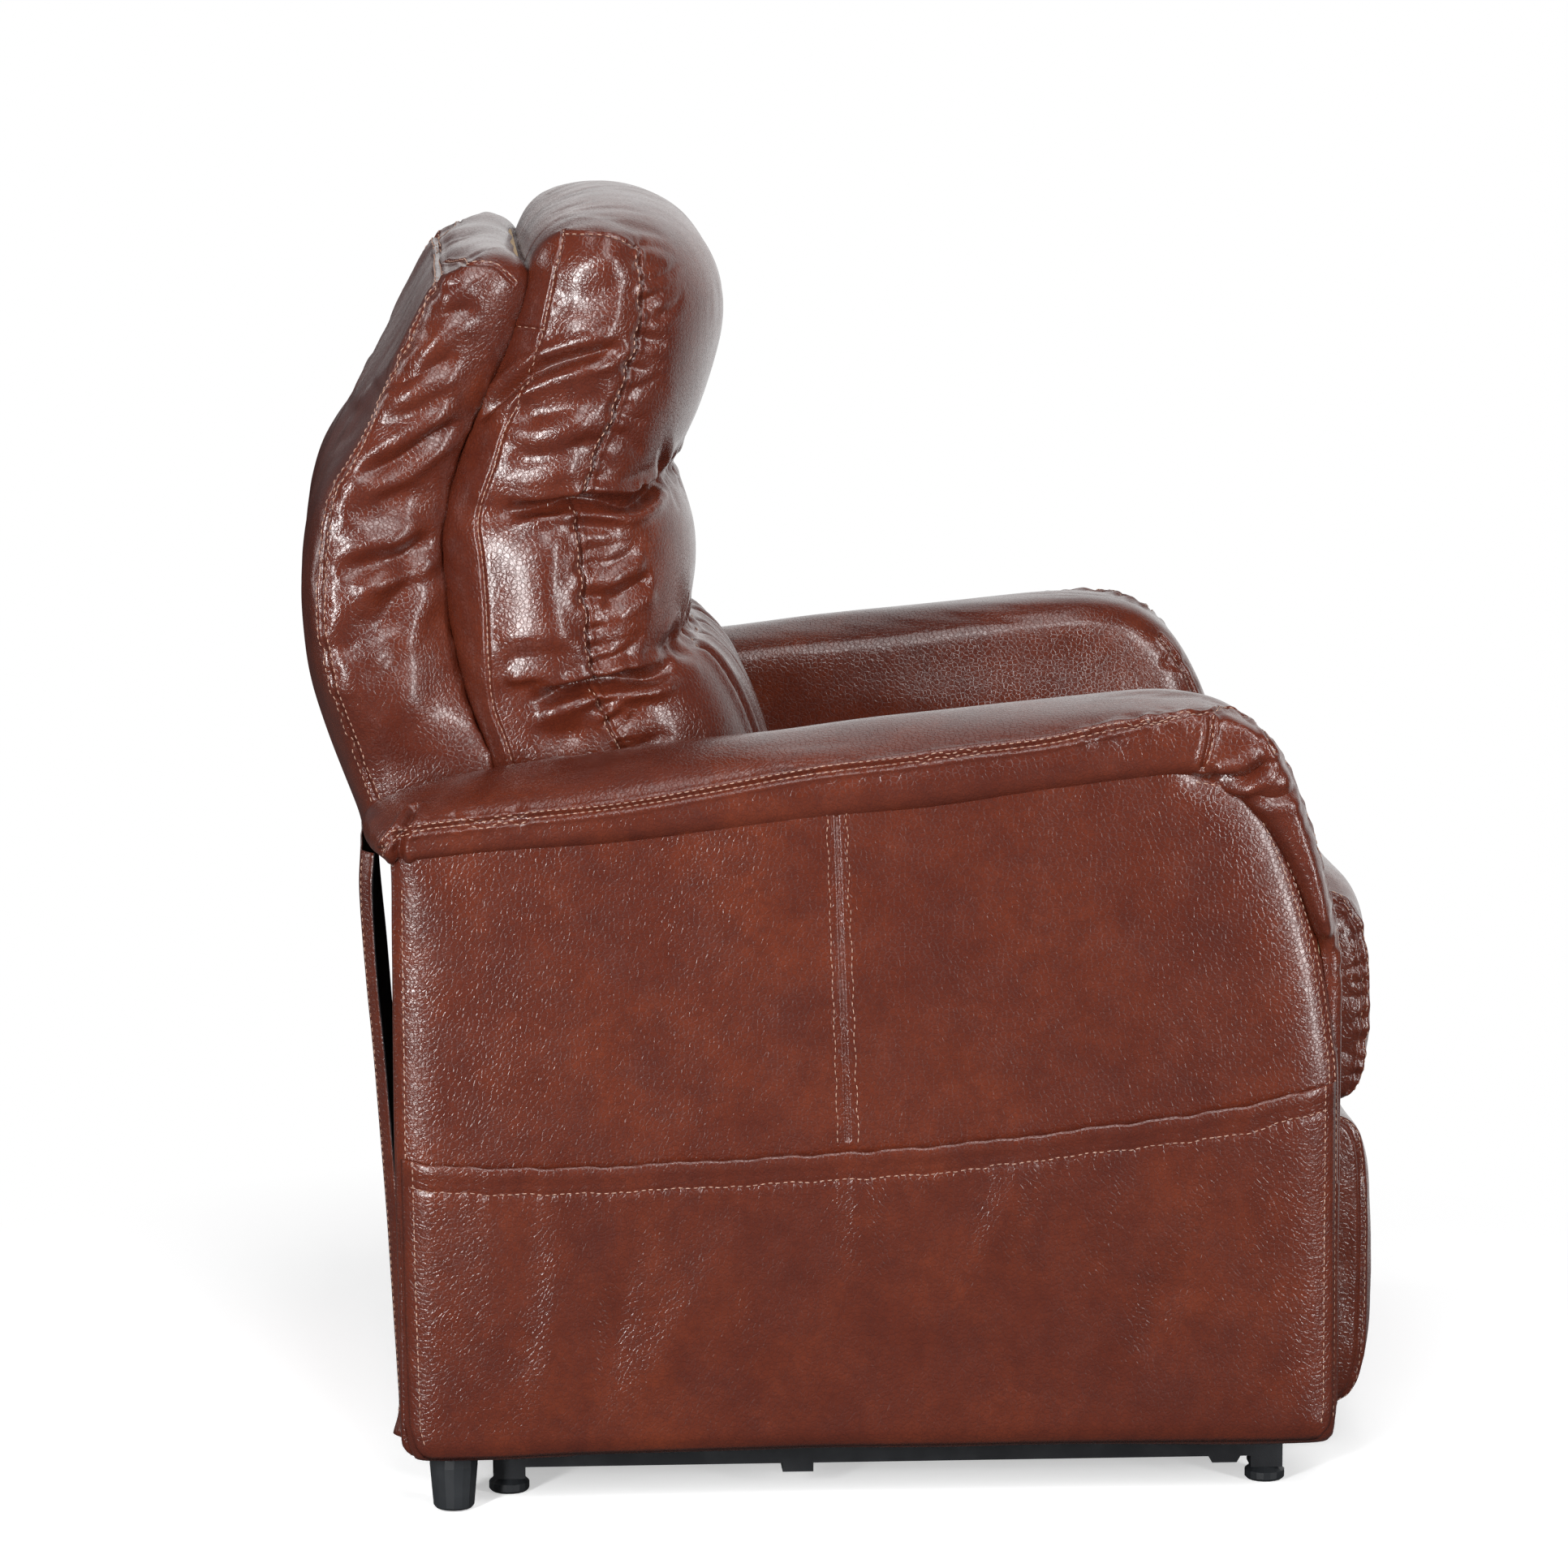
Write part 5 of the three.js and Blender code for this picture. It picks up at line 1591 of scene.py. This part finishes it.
def area_lamp(name, place, aim, size, watts):
    data = bpy.data.lights.new(name, "AREA")
    data.shape = "RECTANGLE"
    data.size, data.size_y = size
    data.energy = watts
    lamp = link(name, data)
    lamp.location = place
    lamp.rotation_euler = turned_to(place, aim)


def seen_rays(graph, behind):
    """1 for what the camera sees, and for what a mirror or glass sees of the backdrop behind the chair"""
    path = graph.add("ShaderNodeLightPath", out="Is Camera Ray")
    outputs = path.socket.node.outputs
    mirror = Value(graph, outputs["Is Glossy Ray"]).math("MAXIMUM", Value(graph, outputs["Is Transmission Ray"]))
    return path.math("MAXIMUM", mirror * behind)


def light_source(graph, kind, colour, strength, out):
    return graph.add(kind, None, {"Color": (*colour, 1.0), "Strength": strength}, out)


class RECLINER_OT_stage(bpy.types.Operator):
    """Camera, floor, room light and lamps"""

    bl_idname = "recliner.stage"
    bl_label = "Stage"

    def execute(self, context):
        stage = context.scene.recliner_stage
        camera = bpy.data.cameras.new("Camera")
        camera.lens = stage.lens
        camera.sensor_width = 36.0
        camera.clip_end = 60.0
        holder = link("Camera", camera)
        holder.location = stage.eye
        holder.rotation_euler = turned_to(stage.eye, stage.aim)
        context.scene.camera = holder
        self.floor(context, stage)
        self.room(context, stage)
        for lamp in LAMPS:
            area_lamp(*lamp)
        context.scene.view_settings.view_transform = "Standard"
        return {"FINISHED"}

    def floor(self, context, stage):
        """Pale floor that keeps the shadow and fades to white further out"""
        bpy.ops.object.select_all(action="DESELECT")
        bpy.ops.mesh.primitive_plane_add(size=60.0, location=(0, 0, -0.0005))
        floor = context.object
        floor.name = "floor"
        bpy.ops.object.transform_apply(location=True, rotation=True, scale=True)
        graph = Graph("Pale floor")
        at = graph.place()
        cloud = graph.noise(at, 1.5, 2.0)
        tint = graph.mix(cloud.ramp(0.3, 0.7), stage.floor, shaded(stage.floor, 0.985))
        diffuse = graph.add("ShaderNodeBsdfDiffuse", None, {"Color": tint, "Roughness": 0.5}, "BSDF")
        bounce = graph.add("ShaderNodeBsdfDiffuse", None, {"Color": (0.13, 0.13, 0.13, 1.0)}, "BSDF")
        glow, white = (
            light_source(graph, "ShaderNodeEmission", (1.0, 1.0, 1.0), strength, "Emission") for strength in (0.42, 1.0)
        )
        lit = graph.add("ShaderNodeAddShader", None, {0: diffuse, 1: glow}, "Shader")
        away = graph.add("ShaderNodeVectorMath", {"operation": "LENGTH"}, {0: at}, "Value")
        far = graph.blend(away.ramp(0.60, 1.05), lit, white)
        behind = graph.part(at, "X").ramp(0.0, 1.0) * graph.part(at, "Y").ramp(0.55, 0.30)
        floor.data.materials.append(graph.surface(graph.blend(seen_rays(graph, behind), bounce, far)))

    def room(self, context, stage):
        """White to the camera, even soft light to the rest"""
        graph = Graph("Room", world=True)
        way = graph.add("ShaderNodeTexCoord", out="Generated")
        soft, white = (
            light_source(graph, "ShaderNodeBackground", colour, strength, "Background")
            for colour, strength in (((0.92, 0.95, 1.0), stage.sky), ((1.0, 1.0, 1.0), 1.0))
        )
        behind = graph.part(way, "X").ramp(0.2, 0.5) * graph.part(way, "Y").ramp(0.16, 0.06)
        context.scene.world = graph.surface(graph.blend(seen_rays(graph, behind), soft, white))


# ---------------------------------------------------------------- panel and order

OPERATORS = (
    RECLINER_OT_back_cushion,
    RECLINER_OT_back_cover,
    RECLINER_OT_seat,
    RECLINER_OT_footrest,
    RECLINER_OT_arm_pads,
    RECLINER_OT_side_panels,
    RECLINER_OT_arm_linings,
    RECLINER_OT_pockets,
    RECLINER_OT_skirt,
    RECLINER_OT_mechanism,
    RECLINER_OT_stage,
)


class RECLINER_PT_panel(bpy.types.Panel):
    """Steps and sizes of the chair"""

    bl_idname = "RECLINER_PT_panel"
    bl_label = "Lift recliner chair"
    bl_space_type = "VIEW_3D"
    bl_region_type = "UI"
    bl_category = "Recliner"

    def draw(self, context):
        for group in (context.scene.recliner_leather, context.scene.recliner_cushions, context.scene.recliner_stage):
            box = self.layout.box()
            for key in group.__annotations__:
                box.prop(group, key)
        for operator in OPERATORS:
            self.layout.operator(operator.bl_idname)


CLASSES = (LeatherSettings, CushionSettings, StageSettings, *OPERATORS, RECLINER_PT_panel)


def register():
    for item in CLASSES:
        bpy.utils.register_class(item)
    bpy.types.Scene.recliner_leather = bpy.props.PointerProperty(type=LeatherSettings)
    bpy.types.Scene.recliner_cushions = bpy.props.PointerProperty(type=CushionSettings)
    bpy.types.Scene.recliner_stage = bpy.props.PointerProperty(type=StageSettings)


def unregister():
    del bpy.types.Scene.recliner_leather
    del bpy.types.Scene.recliner_cushions
    del bpy.types.Scene.recliner_stage
    for item in reversed(CLASSES):
        bpy.utils.unregister_class(item)


def main():
    register()
    for operator in OPERATORS:
        group, step = operator.bl_idname.split(".")
        getattr(getattr(bpy.ops, group), step)()


if __name__ == "__main__":
    main()
